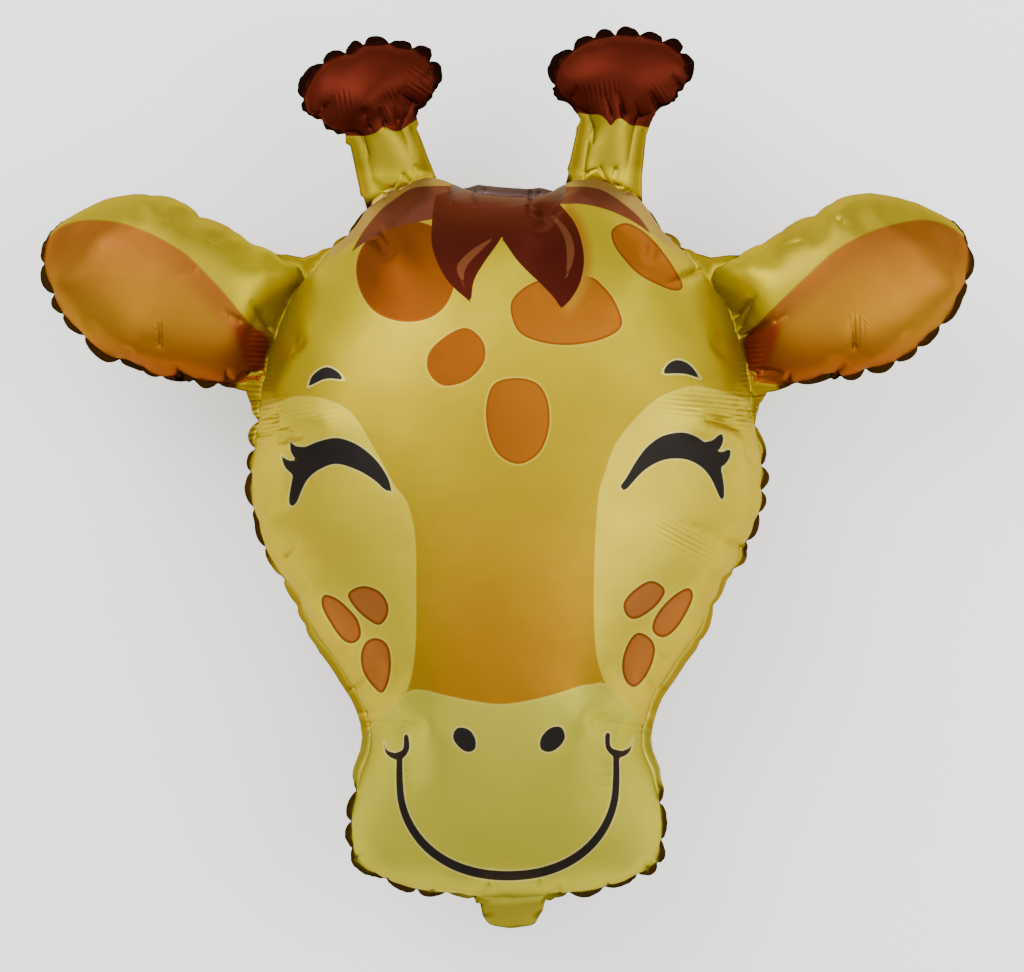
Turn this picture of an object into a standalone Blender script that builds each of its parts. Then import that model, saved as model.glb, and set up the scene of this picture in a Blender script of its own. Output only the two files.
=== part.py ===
"""Giraffe foil balloon, lying on its back with the face up.

Two printed foil sheets are welded round a giraffe's head, its ears and its horns, and the
air swells the chambers between the welds. The outlines are drawn in the plane of the weld.
How far a chamber swells follows from its outline: each sheet is solved as a membrane that
is held at the welds. Metres, +X to the right ear, +Y to the horns, +Z up out of the face.
"""

import math

import bmesh
import bpy
import numpy as np
from mathutils import Vector
from mathutils.geometry import delaunay_2d_cdt

# The head: a wide brow that narrows to a neck above the muzzle
HEAD_WIDTH = 0.406
HEAD_HEIGHT = 0.568

# The ears, each measured from its root on the head's weld to its tip
EAR_LENGTH = 0.195
EAR_WIDTH = 0.134
EAR_RISE = math.radians(17.8)
EAR_ROOT_ACROSS = 0.182
EAR_ROOT_ABOVE_CHIN = 0.456

# The horns: a bobble on a stalk. Left and right lean and tilt differently
BOBBLE_LENGTH = 0.106
BOBBLE_HEIGHT = 0.066
LEFT_BOBBLE_ACROSS = -0.109
LEFT_BOBBLE_ABOVE_CHIN = 0.641
LEFT_BOBBLE_TILT = math.radians(14.0)
LEFT_STALK_ACROSS = -0.084
RIGHT_BOBBLE_ACROSS = 0.0915
RIGHT_BOBBLE_ABOVE_CHIN = 0.650
RIGHT_BOBBLE_TILT = math.radians(3.0)
RIGHT_STALK_ACROSS = 0.075
STALK_ROOT_ABOVE_CHIN = 0.556
STALK_CHANNEL_WIDTH = 0.0355
STALK_WEB_WIDTH = 0.051
STALK_WEB_FLARE = 0.010

# The seam that runs round every chamber, and the filling tab under the chin
SEAM_WIDTH = 0.007
SEAM_THICKNESS = 0.001
SEAM_FILLET = 0.015
HORN_FILLET = 0.008
TAB_WIDTH = 0.042
TAB_LENGTH = 0.020
TAB_OFFSET = 0.004
TAB_FILLET = 0.010
SCALLOP_PITCH = 0.022
SCALLOP_DEPTH = 0.0045
SCALLOP_TIGHTEST_BEND = 0.16
SCALLOP_WIDEST_BEND = 0.45

# How far a chamber swells for its outline, and how deep the back is pressed flat
FULLNESS = 1.21
FLAT_SPOT_DEPTH = 0.0015

# Point spacings of the mesh
RIM_STEP = 0.0056
WELD_STEP = 0.0095
SHEET_STEP = 0.0165
SHOULDER = 0.006
RASTER_STEP = 0.004

# Right half of the head, chin to crown: shares of half the width and of the height
HEAD_HALF = (
    (0.000, 0.000), (0.280, 0.007), (0.456, 0.020), (0.573, 0.045), (0.605, 0.088),
    (0.590, 0.150), (0.534, 0.214), (0.562, 0.270), (0.640, 0.317), (0.742, 0.367),
    (0.836, 0.429), (0.945, 0.494), (1.000, 0.575), (0.967, 0.680), (0.886, 0.796),
    (0.769, 0.863), (0.624, 0.924), (0.476, 0.977), (0.319, 0.997), (0.143, 0.981),
)
CROWN_DIP = 0.975

# The ear along and across its own axis: shares of its length and of its width
EAR_LOOP = (
    (-0.060, 0.310), (0.086, 0.352), (0.317, 0.431), (0.562, 0.478), (0.799, 0.374),
    (0.950, 0.180), (0.990, -0.008), (0.899, -0.264), (0.700, -0.451), (0.492, -0.522),
    (0.286, -0.488), (0.069, -0.405), (-0.050, -0.280), (-0.080, 0.010),
)

# Where the ear's lining begins, as a parabola across the ear's width
LINING_MIDDLE = 0.20
LINING_SAG = 0.42

HEAD, LEFT_EAR, RIGHT_EAR, LEFT_HORN, RIGHT_HORN = range(5)
FLAT = -1


def clear_scene():
    """Start from an empty scene."""
    for item in list(bpy.data.objects):
        bpy.data.objects.remove(item)


def foil_material(name, colour, roughness):
    """A satin printed foil in one colour."""
    material = bpy.data.materials.new(name)
    material.use_nodes = True
    shader = material.node_tree.nodes["Principled BSDF"]
    shader.inputs["Base Color"].default_value = (*colour, 1.0)
    shader.inputs["Metallic"].default_value = 0.6
    shader.inputs["Roughness"].default_value = roughness
    material.diffuse_color = (*colour, 1.0)
    return material


def spaced(loop, step):
    """A closed line cut into equal steps of about the given length."""
    closed = np.vstack([loop, loop[:1]])
    travelled = np.concatenate([[0.0], np.cumsum(np.hypot(*np.diff(closed, axis=0).T))])
    count = max(8, round(travelled[-1] / step))
    stops = np.arange(count) * travelled[-1] / count
    return np.column_stack([np.interp(stops, travelled, closed[:, axis]) for axis in (0, 1)])


def rounded(corners, step):
    """A smooth closed curve through the corners, cut into equal steps."""
    corners = np.asarray(corners, float)
    share = np.linspace(0.0, 1.0, 16, endpoint=False)[:, None]
    stretches = []
    for index in range(len(corners)):
        before, start, end, after = (corners[(index + offset) % len(corners)] for offset in (-1, 0, 1, 2))
        stretches.append(0.5 * (
            2.0 * start + (end - before) * share
            + (2.0 * before - 5.0 * start + 4.0 * end - after) * share ** 2
            + (3.0 * start - before - 3.0 * end + after) * share ** 3))
    return spaced(np.concatenate(stretches), step)


def turned(points, angle, centre):
    """Points turned about the origin, then moved to their centre."""
    cosine, sine = math.cos(angle), math.sin(angle)
    return np.asarray(points) @ np.array([[cosine, sine], [-sine, cosine]]) + np.asarray(centre)


def head_loop():
    """The head's weld line, its right half mirrored to the left."""
    right = np.array(HEAD_HALF) * (HEAD_WIDTH / 2, HEAD_HEIGHT)
    crown = np.array([[0.0, CROWN_DIP * HEAD_HEIGHT]])
    left = right[:0:-1] * (-1, 1)
    return rounded(np.concatenate([right, crown, left]), WELD_STEP)


def ear_loop(side):
    """An ear's weld line; side is 1 for the right ear and -1 for the left one."""
    loop = turned(np.array(EAR_LOOP) * (EAR_LENGTH, EAR_WIDTH), EAR_RISE,
                  (EAR_ROOT_ACROSS, EAR_ROOT_ABOVE_CHIN))
    return rounded(loop * (side, 1), WELD_STEP)


def bobble_loop(across, above, tilt):
    """The oval weld line of a horn's bobble."""
    turn = np.linspace(0.0, 2.0 * math.pi, 48, endpoint=False)
    oval = np.column_stack([BOBBLE_LENGTH / 2 * np.cos(turn), BOBBLE_HEIGHT / 2 * np.sin(turn)])
    return turned(oval, tilt, (across, above))


def stalk_loop(root_across, across, above, root_width, top_width):
    """A stalk from inside the head to inside its bobble, as a tapered strip."""
    root = np.array([root_across, STALK_ROOT_ABOVE_CHIN])
    top = np.array([across, above])
    along = (top - root) / np.linalg.norm(top - root)
    aside = np.array([along[1], -along[0]])
    return np.array([root + aside * root_width / 2, top + aside * top_width / 2,
                     top - aside * top_width / 2, root - aside * root_width / 2])


def distance_to(loop, points):
    """Signed distance from points to a closed line, negative inside it."""
    start, end = loop, np.roll(loop, -1, axis=0)
    step = end - start
    length_squared = (step ** 2).sum(axis=1)
    rise = np.where(step[:, 1] == 0.0, 1e-12, step[:, 1])
    signed = []
    for some in np.array_split(points, len(points) // 8000 + 1):
        x, y = some[:, :1], some[:, 1:]
        from_x, from_y = x - start[:, 0], y - start[:, 1]
        share = np.clip((from_x * step[:, 0] + from_y * step[:, 1]) / length_squared, 0.0, 1.0)
        gap = (from_x - share * step[:, 0]) ** 2 + (from_y - share * step[:, 1]) ** 2
        spans = (start[:, 1] > y) != (end[:, 1] > y)
        crossings = spans & (from_x < step[:, 0] * from_y / rise)
        inside = crossings.sum(axis=1) % 2 == 1
        signed.append(np.where(inside, -1.0, 1.0) * np.sqrt(gap.min(axis=1)))
    return np.concatenate(signed)


def blended(first, second, fillet):
    """The union of two distance fields with a fillet in the corners."""
    mix = np.clip(0.5 + 0.5 * (second - first) / fillet, 0.0, 1.0)
    return second * (1.0 - mix) + first * mix - fillet * mix * (1.0 - mix)


def zero_line(field, xs, ys):
    """The longest closed line on which a field of distances is zero."""
    inside = field < 0.0
    following, places = {}, {}
    mixed = ((inside[:-1, :-1] != inside[1:, :-1]) | (inside[:-1, :-1] != inside[:-1, 1:])
             | (inside[:-1, :-1] != inside[1:, 1:]))
    for row, column in zip(*np.nonzero(mixed)):
        cell = ((row, column), (row, column + 1), (row + 1, column + 1), (row + 1, column))
        entries, exits = [], []
        for one, other in zip(cell, cell[1:] + cell[:1]):
            if inside[one] == inside[other]:
                continue
            crossing = (min(one, other), max(one, other))
            share = field[one] / (field[one] - field[other])
            places[crossing] = (xs[one[1]] + (xs[other[1]] - xs[one[1]]) * share,
                                ys[one[0]] + (ys[other[0]] - ys[one[0]]) * share)
            (exits if inside[one] else entries).append(crossing)
        following.update(zip(entries, exits))
    lines = []
    while following:
        crossing = next(iter(following))
        line = []
        while crossing in following:
            line.append(places[crossing])
            crossing = following.pop(crossing)
        lines.append(line)
    return np.array(max(lines, key=len))


def scalloped(edge):
    """The cut edge drawn in between lobes where it bends outward, as the pucker pulls it."""
    edge = spaced(edge, RIM_STEP)
    ahead = np.roll(edge, -1, axis=0)
    if (edge[:, 0] * ahead[:, 1] - ahead[:, 0] * edge[:, 1]).sum() < 0.0:
        edge = edge[::-1]
    reach = max(2, round(SCALLOP_PITCH / RIM_STEP))
    ahead = np.roll(edge, -reach, axis=0) - edge
    behind = edge - np.roll(edge, reach, axis=0)
    turn = np.arctan2(behind[:, 0] * ahead[:, 1] - behind[:, 1] * ahead[:, 0], (behind * ahead).sum(axis=1))
    spread = np.ones(2 * reach + 1) / (2 * reach + 1)
    turn = np.convolve(np.concatenate([turn[-reach:], turn, turn[:reach]]), spread, "valid")
    bend = turn / (reach * RIM_STEP)
    slack = (bend - 1.0 / SCALLOP_WIDEST_BEND) / (1.0 / SCALLOP_TIGHTEST_BEND - 1.0 / SCALLOP_WIDEST_BEND)
    slack = np.clip(slack, 0.0, 1.0)
    lobes = max(8, round(len(edge) * RIM_STEP / SCALLOP_PITCH))
    notch = 1.0 - np.abs(np.sin(math.pi * lobes * np.arange(len(edge)) / len(edge)))
    tangent = np.roll(edge, -1, axis=0) - np.roll(edge, 1, axis=0)
    tangent /= np.hypot(*tangent.T)[:, None]
    inward = np.column_stack([-tangent[:, 1], tangent[:, 0]])
    drawn = edge + inward * (SCALLOP_DEPTH * slack * notch)[:, None]
    kept = (slack > 0.05) | (np.arange(len(edge)) % 2 == 0)
    return drawn[kept]


def sheet_outlines():
    """The chambers' weld lines, the rows of points inside them, and the cut edge."""
    bobbles = [bobble_loop(LEFT_BOBBLE_ACROSS, LEFT_BOBBLE_ABOVE_CHIN, LEFT_BOBBLE_TILT),
               bobble_loop(RIGHT_BOBBLE_ACROSS, RIGHT_BOBBLE_ABOVE_CHIN, RIGHT_BOBBLE_TILT)]
    places = ((LEFT_STALK_ACROSS, LEFT_BOBBLE_ACROSS, LEFT_BOBBLE_ABOVE_CHIN),
              (RIGHT_STALK_ACROSS, RIGHT_BOBBLE_ACROSS, RIGHT_BOBBLE_ABOVE_CHIN))
    channels = [stalk_loop(*place, STALK_CHANNEL_WIDTH, STALK_CHANNEL_WIDTH) for place in places]
    webs = [stalk_loop(*place, STALK_WEB_WIDTH + STALK_WEB_FLARE, STALK_WEB_WIDTH) for place in places]
    solid = [head_loop(), ear_loop(-1), ear_loop(1)]

    corners = np.concatenate(solid + bobbles)
    margin = SEAM_WIDTH + TAB_LENGTH + 2 * RASTER_STEP
    low, high = corners.min(axis=0) - margin, corners.max(axis=0) + margin
    xs = np.arange(low[0], high[0], RASTER_STEP)
    ys = np.arange(low[1], high[1], RASTER_STEP)
    raster = np.column_stack([axis.ravel() for axis in np.meshgrid(xs, ys)])
    shape = (len(ys), len(xs))

    fields = [distance_to(loop, raster) for loop in solid]
    for bobble, channel in zip(bobbles, channels):
        fields.append(blended(distance_to(bobble, raster), distance_to(channel, raster), RASTER_STEP))
    welds = solid + [spaced(zero_line(field.reshape(shape), xs, ys), WELD_STEP) for field in fields[3:]]

    seam = fields[0]
    for field, fillet in zip(fields[1:], (SEAM_FILLET, SEAM_FILLET, HORN_FILLET, HORN_FILLET)):
        seam = blended(seam, field, fillet)
    seam = seam - SEAM_WIDTH
    for web in webs:
        seam = blended(seam, distance_to(web, raster), RASTER_STEP)
    half = TAB_WIDTH / 2 - TAB_FILLET / 2
    foot = TAB_FILLET / 2 - TAB_LENGTH - SEAM_WIDTH
    tab = np.array([(-half, foot), (half, foot), (half, 0.0), (-half, 0.0)]) + (TAB_OFFSET, 0.0)
    seam = blended(seam, distance_to(tab, raster) - TAB_FILLET / 2, TAB_FILLET)
    edge = scalloped(zero_line(seam.reshape(shape), xs, ys))

    shoulders = []
    for field in fields:
        if field.min() < -1.5 * SHOULDER:
            shoulders.append(spaced(zero_line(field.reshape(shape) + SHOULDER, xs, ys), WELD_STEP * 1.2))
    return welds, shoulders, edge, bobbles


def lattice(low, high):
    """Points in a triangular pattern over a rectangle."""
    rows = []
    for row, y in enumerate(np.arange(low[1], high[1], SHEET_STEP * math.sqrt(0.75))):
        xs = np.arange(low[0] + SHEET_STEP / 2 * (row % 2), high[0], SHEET_STEP)
        rows.append(np.column_stack([xs, np.full(len(xs), y)]))
    return np.concatenate(rows)


def clear_of(points, loops, gap):
    """The points that keep a gap to every line."""
    for loop in loops:
        points = points[np.abs(distance_to(loop, points)) > gap]
    return points


def triangulated(welds, shoulders, edge):
    """One sheet as flat triangles that follow the cut edge and every weld line."""
    points, lines = list(edge), [(i, (i + 1) % len(edge)) for i in range(len(edge))]
    for loop in welds:
        inner = np.zeros(len(loop)) if loop is welds[HEAD] else distance_to(welds[HEAD], loop)
        kept = {}
        for index, point in enumerate(loop):
            buried = inner[index] < -1.2 * WELD_STEP
            touching = loop is not welds[HEAD] and abs(inner[index]) < 0.3 * WELD_STEP
            if not buried and not touching:
                kept[index] = len(points)
                points.append(point)
        order = sorted(kept)
        for one, other in zip(order, order[1:] + order[:1]):
            if (other - one) % len(loop) <= 2:
                lines.append((kept[one], kept[other]))

    rows = []
    for row, loop in enumerate(shoulders):
        row_points = clear_of(loop, welds + rows, 0.6 * SHOULDER)
        row_points = row_points[distance_to(edge, row_points) < -0.5 * SHOULDER]
        points.extend(row_points)
        rows.append(loop)
    inside = lattice(edge.min(axis=0), edge.max(axis=0))
    inside = inside[distance_to(edge, inside) < -0.6 * WELD_STEP]
    points.extend(clear_of(inside, welds + rows, 0.6 * WELD_STEP))

    result = delaunay_2d_cdt([Vector(point) for point in points], lines, [], 0, 1e-6)
    places = np.array([tuple(point) for point in result[0]])
    faces = np.array([face for face in result[2] if len(face) == 3])
    faces = faces[distance_to(edge, places[faces].mean(axis=1)) < 0.0]
    used, faces = np.unique(faces, return_inverse=True)
    places, faces = places[used], faces.reshape(-1, 3)
    one, two = places[faces[:, 1]] - places[faces[:, 0]], places[faces[:, 2]] - places[faces[:, 0]]
    backward = one[:, 0] * two[:, 1] < one[:, 1] * two[:, 0]
    faces[backward] = faces[backward, ::-1]
    return places, faces


def chamber_of(welds, centres):
    """Which chamber each point lies in; the head comes before what it overlaps."""
    chamber = np.full(len(centres), FLAT)
    for index in reversed(range(len(welds))):
        chamber[distance_to(welds[index], centres) < 0.0] = index
    return chamber


def swelling(places, faces, chamber):
    """Height of the swollen sheet over the weld: the root of a membrane's sag."""
    count = len(places)
    lowest, highest = np.full(count, RIGHT_HORN), np.full(count, FLAT)
    for corner in range(3):
        np.minimum.at(lowest, faces[:, corner], chamber)
        np.maximum.at(highest, faces[:, corner], chamber)
    free = np.nonzero((lowest == highest) & (lowest != FLAT))[0]
    stiffness, load = np.zeros((count, count)), np.zeros(count)
    for corner in range(3):
        apex, left, right = (faces[:, (corner + offset) % 3] for offset in range(3))
        one, two = places[left] - places[apex], places[right] - places[apex]
        doubled_area = np.abs(one[:, 0] * two[:, 1] - one[:, 1] * two[:, 0])
        weight = (one * two).sum(axis=1) / doubled_area / 2.0
        np.add.at(stiffness, (left, left), weight)
        np.add.at(stiffness, (right, right), weight)
        np.add.at(stiffness, (left, right), -weight)
        np.add.at(stiffness, (right, left), -weight)
        np.add.at(load, apex, doubled_area / 6.0)
    sag = np.zeros(count)
    sag[free] = np.linalg.solve(stiffness[np.ix_(free, free)], load[free])
    return FULLNESS * np.sqrt(np.maximum(sag, 0.0))


def ear_lining(centres, side):
    """True where a point lies on the lining, the lower part of an ear."""
    local = turned(centres * (side, 1) - (EAR_ROOT_ACROSS, EAR_ROOT_ABOVE_CHIN), -EAR_RISE, (0.0, 0.0))
    along, across = local[:, 0] / EAR_LENGTH, local[:, 1] / EAR_WIDTH
    return across < LINING_MIDDLE - LINING_SAG * (2.0 * along - 1.3) ** 2


def balloon():
    """The whole balloon as one closed body."""
    welds, shoulders, edge, bobbles = sheet_outlines()
    places, faces = triangulated(welds, shoulders, edge)
    centres = places[faces].mean(axis=1)
    chamber = chamber_of(welds, centres)
    height = swelling(places, faces, chamber)

    colour = np.zeros(len(faces), int)
    for side, index in ((-1, LEFT_EAR), (1, RIGHT_EAR)):
        ear = (chamber == index) | ((chamber == FLAT) & (side * centres[:, 0] > HEAD_WIDTH / 2))
        colour[ear & ear_lining(centres, side)] = 1
    for bobble in bobbles:
        colour[(distance_to(bobble, centres) < SEAM_WIDTH) & (chamber != HEAD)] = 2

    deepest = height.max() - FLAT_SPOT_DEPTH
    middle = deepest + SEAM_THICKNESS / 2
    mesh = bpy.data.meshes.new("foil_balloon")
    shape = bmesh.new()
    front = [shape.verts.new((x, y, middle + SEAM_THICKNESS / 2 + z)) for (x, y), z in zip(places, height)]
    back = [shape.verts.new((x, y, middle - SEAM_THICKNESS / 2 - min(z, deepest)))
            for (x, y), z in zip(places, height)]
    for corners, slot in zip(faces.tolist(), colour.tolist()):
        shape.faces.new([front[corner] for corner in corners]).material_index = slot
        shape.faces.new([back[corner] for corner in reversed(corners)]).material_index = slot
    rim = [side for side in shape.edges if side.is_boundary and side.verts[0].co.z > middle]
    partner = dict(zip(front, back))
    for side in rim:
        loop = side.link_loops[0]
        one, two = loop.vert, loop.link_loop_next.vert
        slot = loop.face.material_index
        shape.faces.new([two, one, partner[one], partner[two]]).material_index = slot
    low = [min(vertex.co[axis] for vertex in shape.verts) for axis in range(3)]
    high = [max(vertex.co[axis] for vertex in shape.verts) for axis in range(3)]
    shift = Vector((-(low[0] + high[0]) / 2, -(low[1] + high[1]) / 2, -low[2]))
    bmesh.ops.translate(shape, vec=shift, verts=shape.verts)
    bmesh.ops.triangulate(shape, faces=[face for face in shape.faces if len(face.verts) > 3])
    shape.to_mesh(mesh)
    shape.free()

    body = bpy.data.objects.new("foil_balloon", mesh)
    bpy.context.scene.collection.objects.link(body)
    for name, tone, roughness in (("yellow_foil", (0.55, 0.42, 0.05), 0.38),
                                  ("orange_foil", (0.46, 0.16, 0.02), 0.38),
                                  ("brown_foil", (0.15, 0.025, 0.008), 0.36)):
        mesh.materials.append(foil_material(name, tone, roughness))
    mesh.shade_smooth()
    mesh.set_sharp_from_angle(angle=math.radians(60))
    return body


clear_scene()
balloon()
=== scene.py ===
"""A giraffe's head as a printed foil balloon, lying on its back on a pale floor.

The CAD solid gives the welds and how far each chamber swells. Here its two sheets are let
back into the flat film that they were cut from, welded together, and blown up as cloth, so
the seam puckers as a real one does. The print is drawn on the swollen film as it is seen
from straight above. Metres, +X to the right ear, +Y to the horns, +Z up out of the face.
"""

import math

import bpy
import numpy as np
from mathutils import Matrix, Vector


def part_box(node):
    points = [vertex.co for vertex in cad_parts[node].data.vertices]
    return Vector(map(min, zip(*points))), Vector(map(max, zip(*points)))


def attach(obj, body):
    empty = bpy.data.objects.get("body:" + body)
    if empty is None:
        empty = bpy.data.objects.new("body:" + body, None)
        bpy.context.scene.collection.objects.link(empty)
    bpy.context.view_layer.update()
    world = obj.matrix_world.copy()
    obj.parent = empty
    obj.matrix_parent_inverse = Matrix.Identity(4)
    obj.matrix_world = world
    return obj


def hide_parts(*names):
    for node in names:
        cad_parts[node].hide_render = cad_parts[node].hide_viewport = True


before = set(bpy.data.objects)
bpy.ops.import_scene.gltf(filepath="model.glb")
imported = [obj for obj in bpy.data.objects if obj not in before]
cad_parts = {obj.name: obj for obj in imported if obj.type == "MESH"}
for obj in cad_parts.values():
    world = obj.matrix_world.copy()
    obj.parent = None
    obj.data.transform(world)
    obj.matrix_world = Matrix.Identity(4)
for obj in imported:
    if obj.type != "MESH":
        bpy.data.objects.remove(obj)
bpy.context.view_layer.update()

NODE = "foil_balloon"
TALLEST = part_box(NODE)[1].z

# How closely points of the CAD solid agree, and the faces round its seam: how upright and tall
SAME_PLACE = 1e-5
UPRIGHT = 0.02
SEAM_EDGE = 0.0011

# One round of evening out: what a vertex keeps of its own, and what it takes of its neighbours
OWN_SHARE = 0.3
MEAN_SHARE = 0.7

# The chambers by their size, each a front and a back: what evens out their cut, how far the
# blown film stands out over its seam, also where head and ears meet, and how deep it puckers
CHAMBER_KINDS = ("head",) * 2 + ("ear",) * 4 + ("horn",) * 4
EVENING_ROUNDS = {"head": 60, "ear": 10, "horn": 3}
OVERHANG = {"head": 0.0015, "ear": 0.0012, "horn": 0.0020}
OVERHANG_AT_ROOT = {"head": 0.0032, "ear": -0.0025, "horn": -0.0010}
PUCKER_DEPTH = {"head": 0.0008, "ear": 0.0012, "horn": 0.0012}
# How much more it stands out on the side that hides its hem: the crown, the ears' upper edge
# and the bobbles' lower one, told by how far the way out points up or down
LEAN = {
    "head": (0.0050, 1.0, 0.60, 0.88),
    "ear": (0.0060, 1.0, 0.05, 0.45),
    "horn": (0.0035, -1.0, -0.10, 0.50),
}
STAND_EVENING = 8
# The height at which it stands out most, also as a share of a low dome's, and how far in
OVERHANG_HEIGHT = 0.018
OVERHANG_SHARE = 0.3
OVERHANG_REACH = 0.045
PUCKER_REACH = 0.014

# How the film was cut: what the swelling takes back in, evened out over the sheet
TAKEN_IN = 0.60
FULLNESS = 1.21
SPARE_FILM = 0.03
PATTERN_EVENING = 3
# How much more a near weld counts than a far one for the film inside, and for the hem outside
FILM_CARRY = 2.5
HEM_CARRY = 3.0

# The air: cloth simulation on a model ten times its size, and the film's stiffness
CLOTH_SCALE = 10.0
CLOTH_FRAMES = 34
FILM_GAP = 0.0008
AIR_AT_WELD = 0.5
FILM = {
    "quality": 8, "mass": 0.02, "tension_stiffness": 150.0, "compression_stiffness": 20.0,
    "shear_stiffness": 10.0, "bending_model": "ANGULAR", "bending_stiffness": 0.5,
    "tension_damping": 5.0, "compression_damping": 5.0, "shear_damping": 5.0,
    "bending_damping": 0.5, "air_damping": 1.0, "use_pressure": True,
    "uniform_pressure_force": 15.0,
}

# What the welds keep of their ripple across and in height, and what the film keeps of its
# wrinkles beside them, which grows to all of them further in
WELD_EVENING = 60
RIPPLE_KEPT = (0.35, 0.35, 0.5)
WRINKLES_KEPT = (0.25, 0.25, 0.45)
CALM_ROUNDS = 8
FACET_ROUNDS = 20
CALM_REACH = 0.060

# Places where the cloth folds more than the real film does: centre and reach
CALM_SPOTS = (
    ((0.0040, 0.2250), 0.060),
    ((-0.1060, 0.1990), 0.060),
    ((0.1060, 0.1990), 0.060),
    ((-0.0860, 0.2860), 0.030),
    ((0.0880, 0.2900), 0.030),
    ((-0.0930, 0.2600), 0.036),
    ((0.0850, 0.2600), 0.036),
    ((-0.1780, 0.1050), 0.060),
    ((0.1780, 0.1050), 0.060),
    ((-0.1900, 0.0200), 0.060),
    ((0.1900, 0.0500), 0.060),
    ((-0.3430, 0.2050), 0.050),
    ((0.3430, 0.2050), 0.050),
    ((-0.0950, -0.2000), 0.070),
    ((0.0950, -0.1980), 0.070),
)
SPOT_ROUNDS = 40

# Rims: what evens their line out, the sag in it that counts as fully convex, and a length
# that is more than any of them, to tell their places apart
RIM_EVENING = 0.035
FULL_SAG = 0.0020
RIM_APART = 10.0

# The hem outside the weld: where it counts as one, and the lobes that its cut edge draws
# up into, from notch to crest, less where the dome hides them, by their mean pitch
HEM_WIDTH = 0.0095
LOBE_CREST = {"head": 0.0062, "ear": 0.0064, "horn": 0.0078}
LOBE_PITCH = {"head": 0.025, "ear": 0.027, "horn": 0.021}
LOBE_NOTCH = 0.0007
LOBE_HIDDEN = 0.8
# How uneven they are: share of a lobe, turns for each metre and start, of two slow waves
LOBE_WANDER = ((0.28, 41.0, 0.0), (0.12, 97.0, 1.0))
# Their shape: the notch between them, how full they are, and how their size comes and goes
LOBE_GAP = 0.12
LOBE_FULL = 0.55
LOBE_UNEVEN = 0.16
LOBE_BEAT, LOBE_START = 2.3, 2.0
# How soon they begin where the rim turns convex, and how much of the lobes' painted shade the weld
# takes beside them
LOBE_ONSET = 3.0
WELD_PAINTED_SHADE = 0.6
SHEET_GAP = 0.0003
# Webs at the ears' roots, where the hem stays as it was cut: centre and reach
PLAIN_HEM = (
    ((-0.1630, 0.1717), 0.024),
    ((0.1630, 0.1717), 0.024),
    ((-0.2035, 0.0660), 0.018),
    ((0.2035, 0.0660), 0.018),
)

# The filling tab at the chin, whose end is smooth: its middle, half width and top, and how far
# past its sides the cut edge is smoothed
TAB_MIDDLE = 0.0051
TAB_HALF_WIDTH = 0.0235
TAB_TOP = -0.325
TAB_MARGIN = 0.01
TAB_EVENING = 6

# The flat patch on which the balloon rests, and the camera over the weld plane
FLAT_SPOT_DEPTH = 0.0012
CAMERA_HEIGHT = 3.0
CAMERA_CENTRE = (0.004, -0.0064)
VIEW_WIDTH = 0.814

# The film is cut finer where an inked edge crosses it, and finer still at a crease
FINE_REACH = 0.0040
FINEST_REACH = 0.0029
FOLD_GAIN = 2.4
# A fold's shape: its flanks, how it fades to its end, how it rises from the seam, and the
# height over the weld at which it has its full depth
FOLD_FLANK = 1.3
FOLD_FADE, FOLD_TAPER = 1.15, 0.7
FOLD_RISE, FOLD_AT_SEAM = 6.0, 0.5
FOLD_FACING = 0.004
# Vertices of the front and of the hem are above this side, those of the back are below
FRONT_SIDE = -0.25
FAR = 0.02

# Nicks in the outline, where a fold pulls the rim in: place, depth and width
PINCHES = (
    ((-0.2441, 0.2083), 0.0060, 0.0100),
    ((-0.2043, 0.1805), 0.0055, 0.0100),
    ((0.2449, 0.2083), 0.0060, 0.0100),
    ((0.2059, 0.1829), 0.0055, 0.0100),
    ((-0.1503, 0.2830), 0.0050, 0.0060),
    ((-0.0954, 0.2790), 0.0040, 0.0060),
    ((-0.0708, 0.2926), 0.0050, 0.0060),
    ((-0.1224, 0.3363), 0.0015, 0.0050),
    ((0.0827, 0.2806), 0.0035, 0.0060),
    ((0.1240, 0.2942), 0.0050, 0.0060),
    ((0.1407, 0.3053), 0.0050, 0.0060),
    ((0.0517, 0.2989), 0.0035, 0.0060),
    ((-0.2003, 0.0239), 0.0030, 0.0080),
    ((0.1964, 0.0509), 0.0045, 0.0080),
    ((0.2003, -0.0064), 0.0030, 0.0080),
    ((0.1876, -0.0564), 0.0045, 0.0090),
    ((0.1765, -0.0811), 0.0025, 0.0070),
    ((0.1646, -0.1026), 0.0025, 0.0070),
    ((0.2573, 0.0766), 0.0030, 0.0080),
    ((0.2854, 0.0811), 0.0025, 0.0060),
    ((-0.2552, 0.0763), 0.0030, 0.0080),
    ((-0.2902, 0.0819), 0.0025, 0.0060),
)
PINCH_REACH = 0.016
PINCH_SINK = 0.15

# Where the film gathers in fine ripples: place, the angle at which they run, and how far
# the patch reaches along them and across them
GATHERS = (
    ((-0.1948, 0.0445), 12, 0.070, 0.022),
    ((0.1892, 0.0525), 174, 0.075, 0.020),
    ((0.1534, -0.0549), -28, 0.045, 0.014),
    ((-0.1988, 0.0890), -5, 0.016, 0.036),
    ((0.1956, 0.0890), 185, 0.016, 0.036),
    ((-0.0684, 0.3148), -35, 0.020, 0.013),
    ((-0.0898, 0.2981), -65, 0.016, 0.016),
    ((-0.1272, 0.2973), -80, 0.014, 0.018),
    ((0.0747, 0.3085), -80, 0.014, 0.022),
    ((0.1248, 0.3077), -60, 0.016, 0.012),
    ((-0.2767, 0.1177), 90, 0.016, 0.010),
    ((0.2782, 0.1200), 90, 0.016, 0.010),
)

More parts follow.
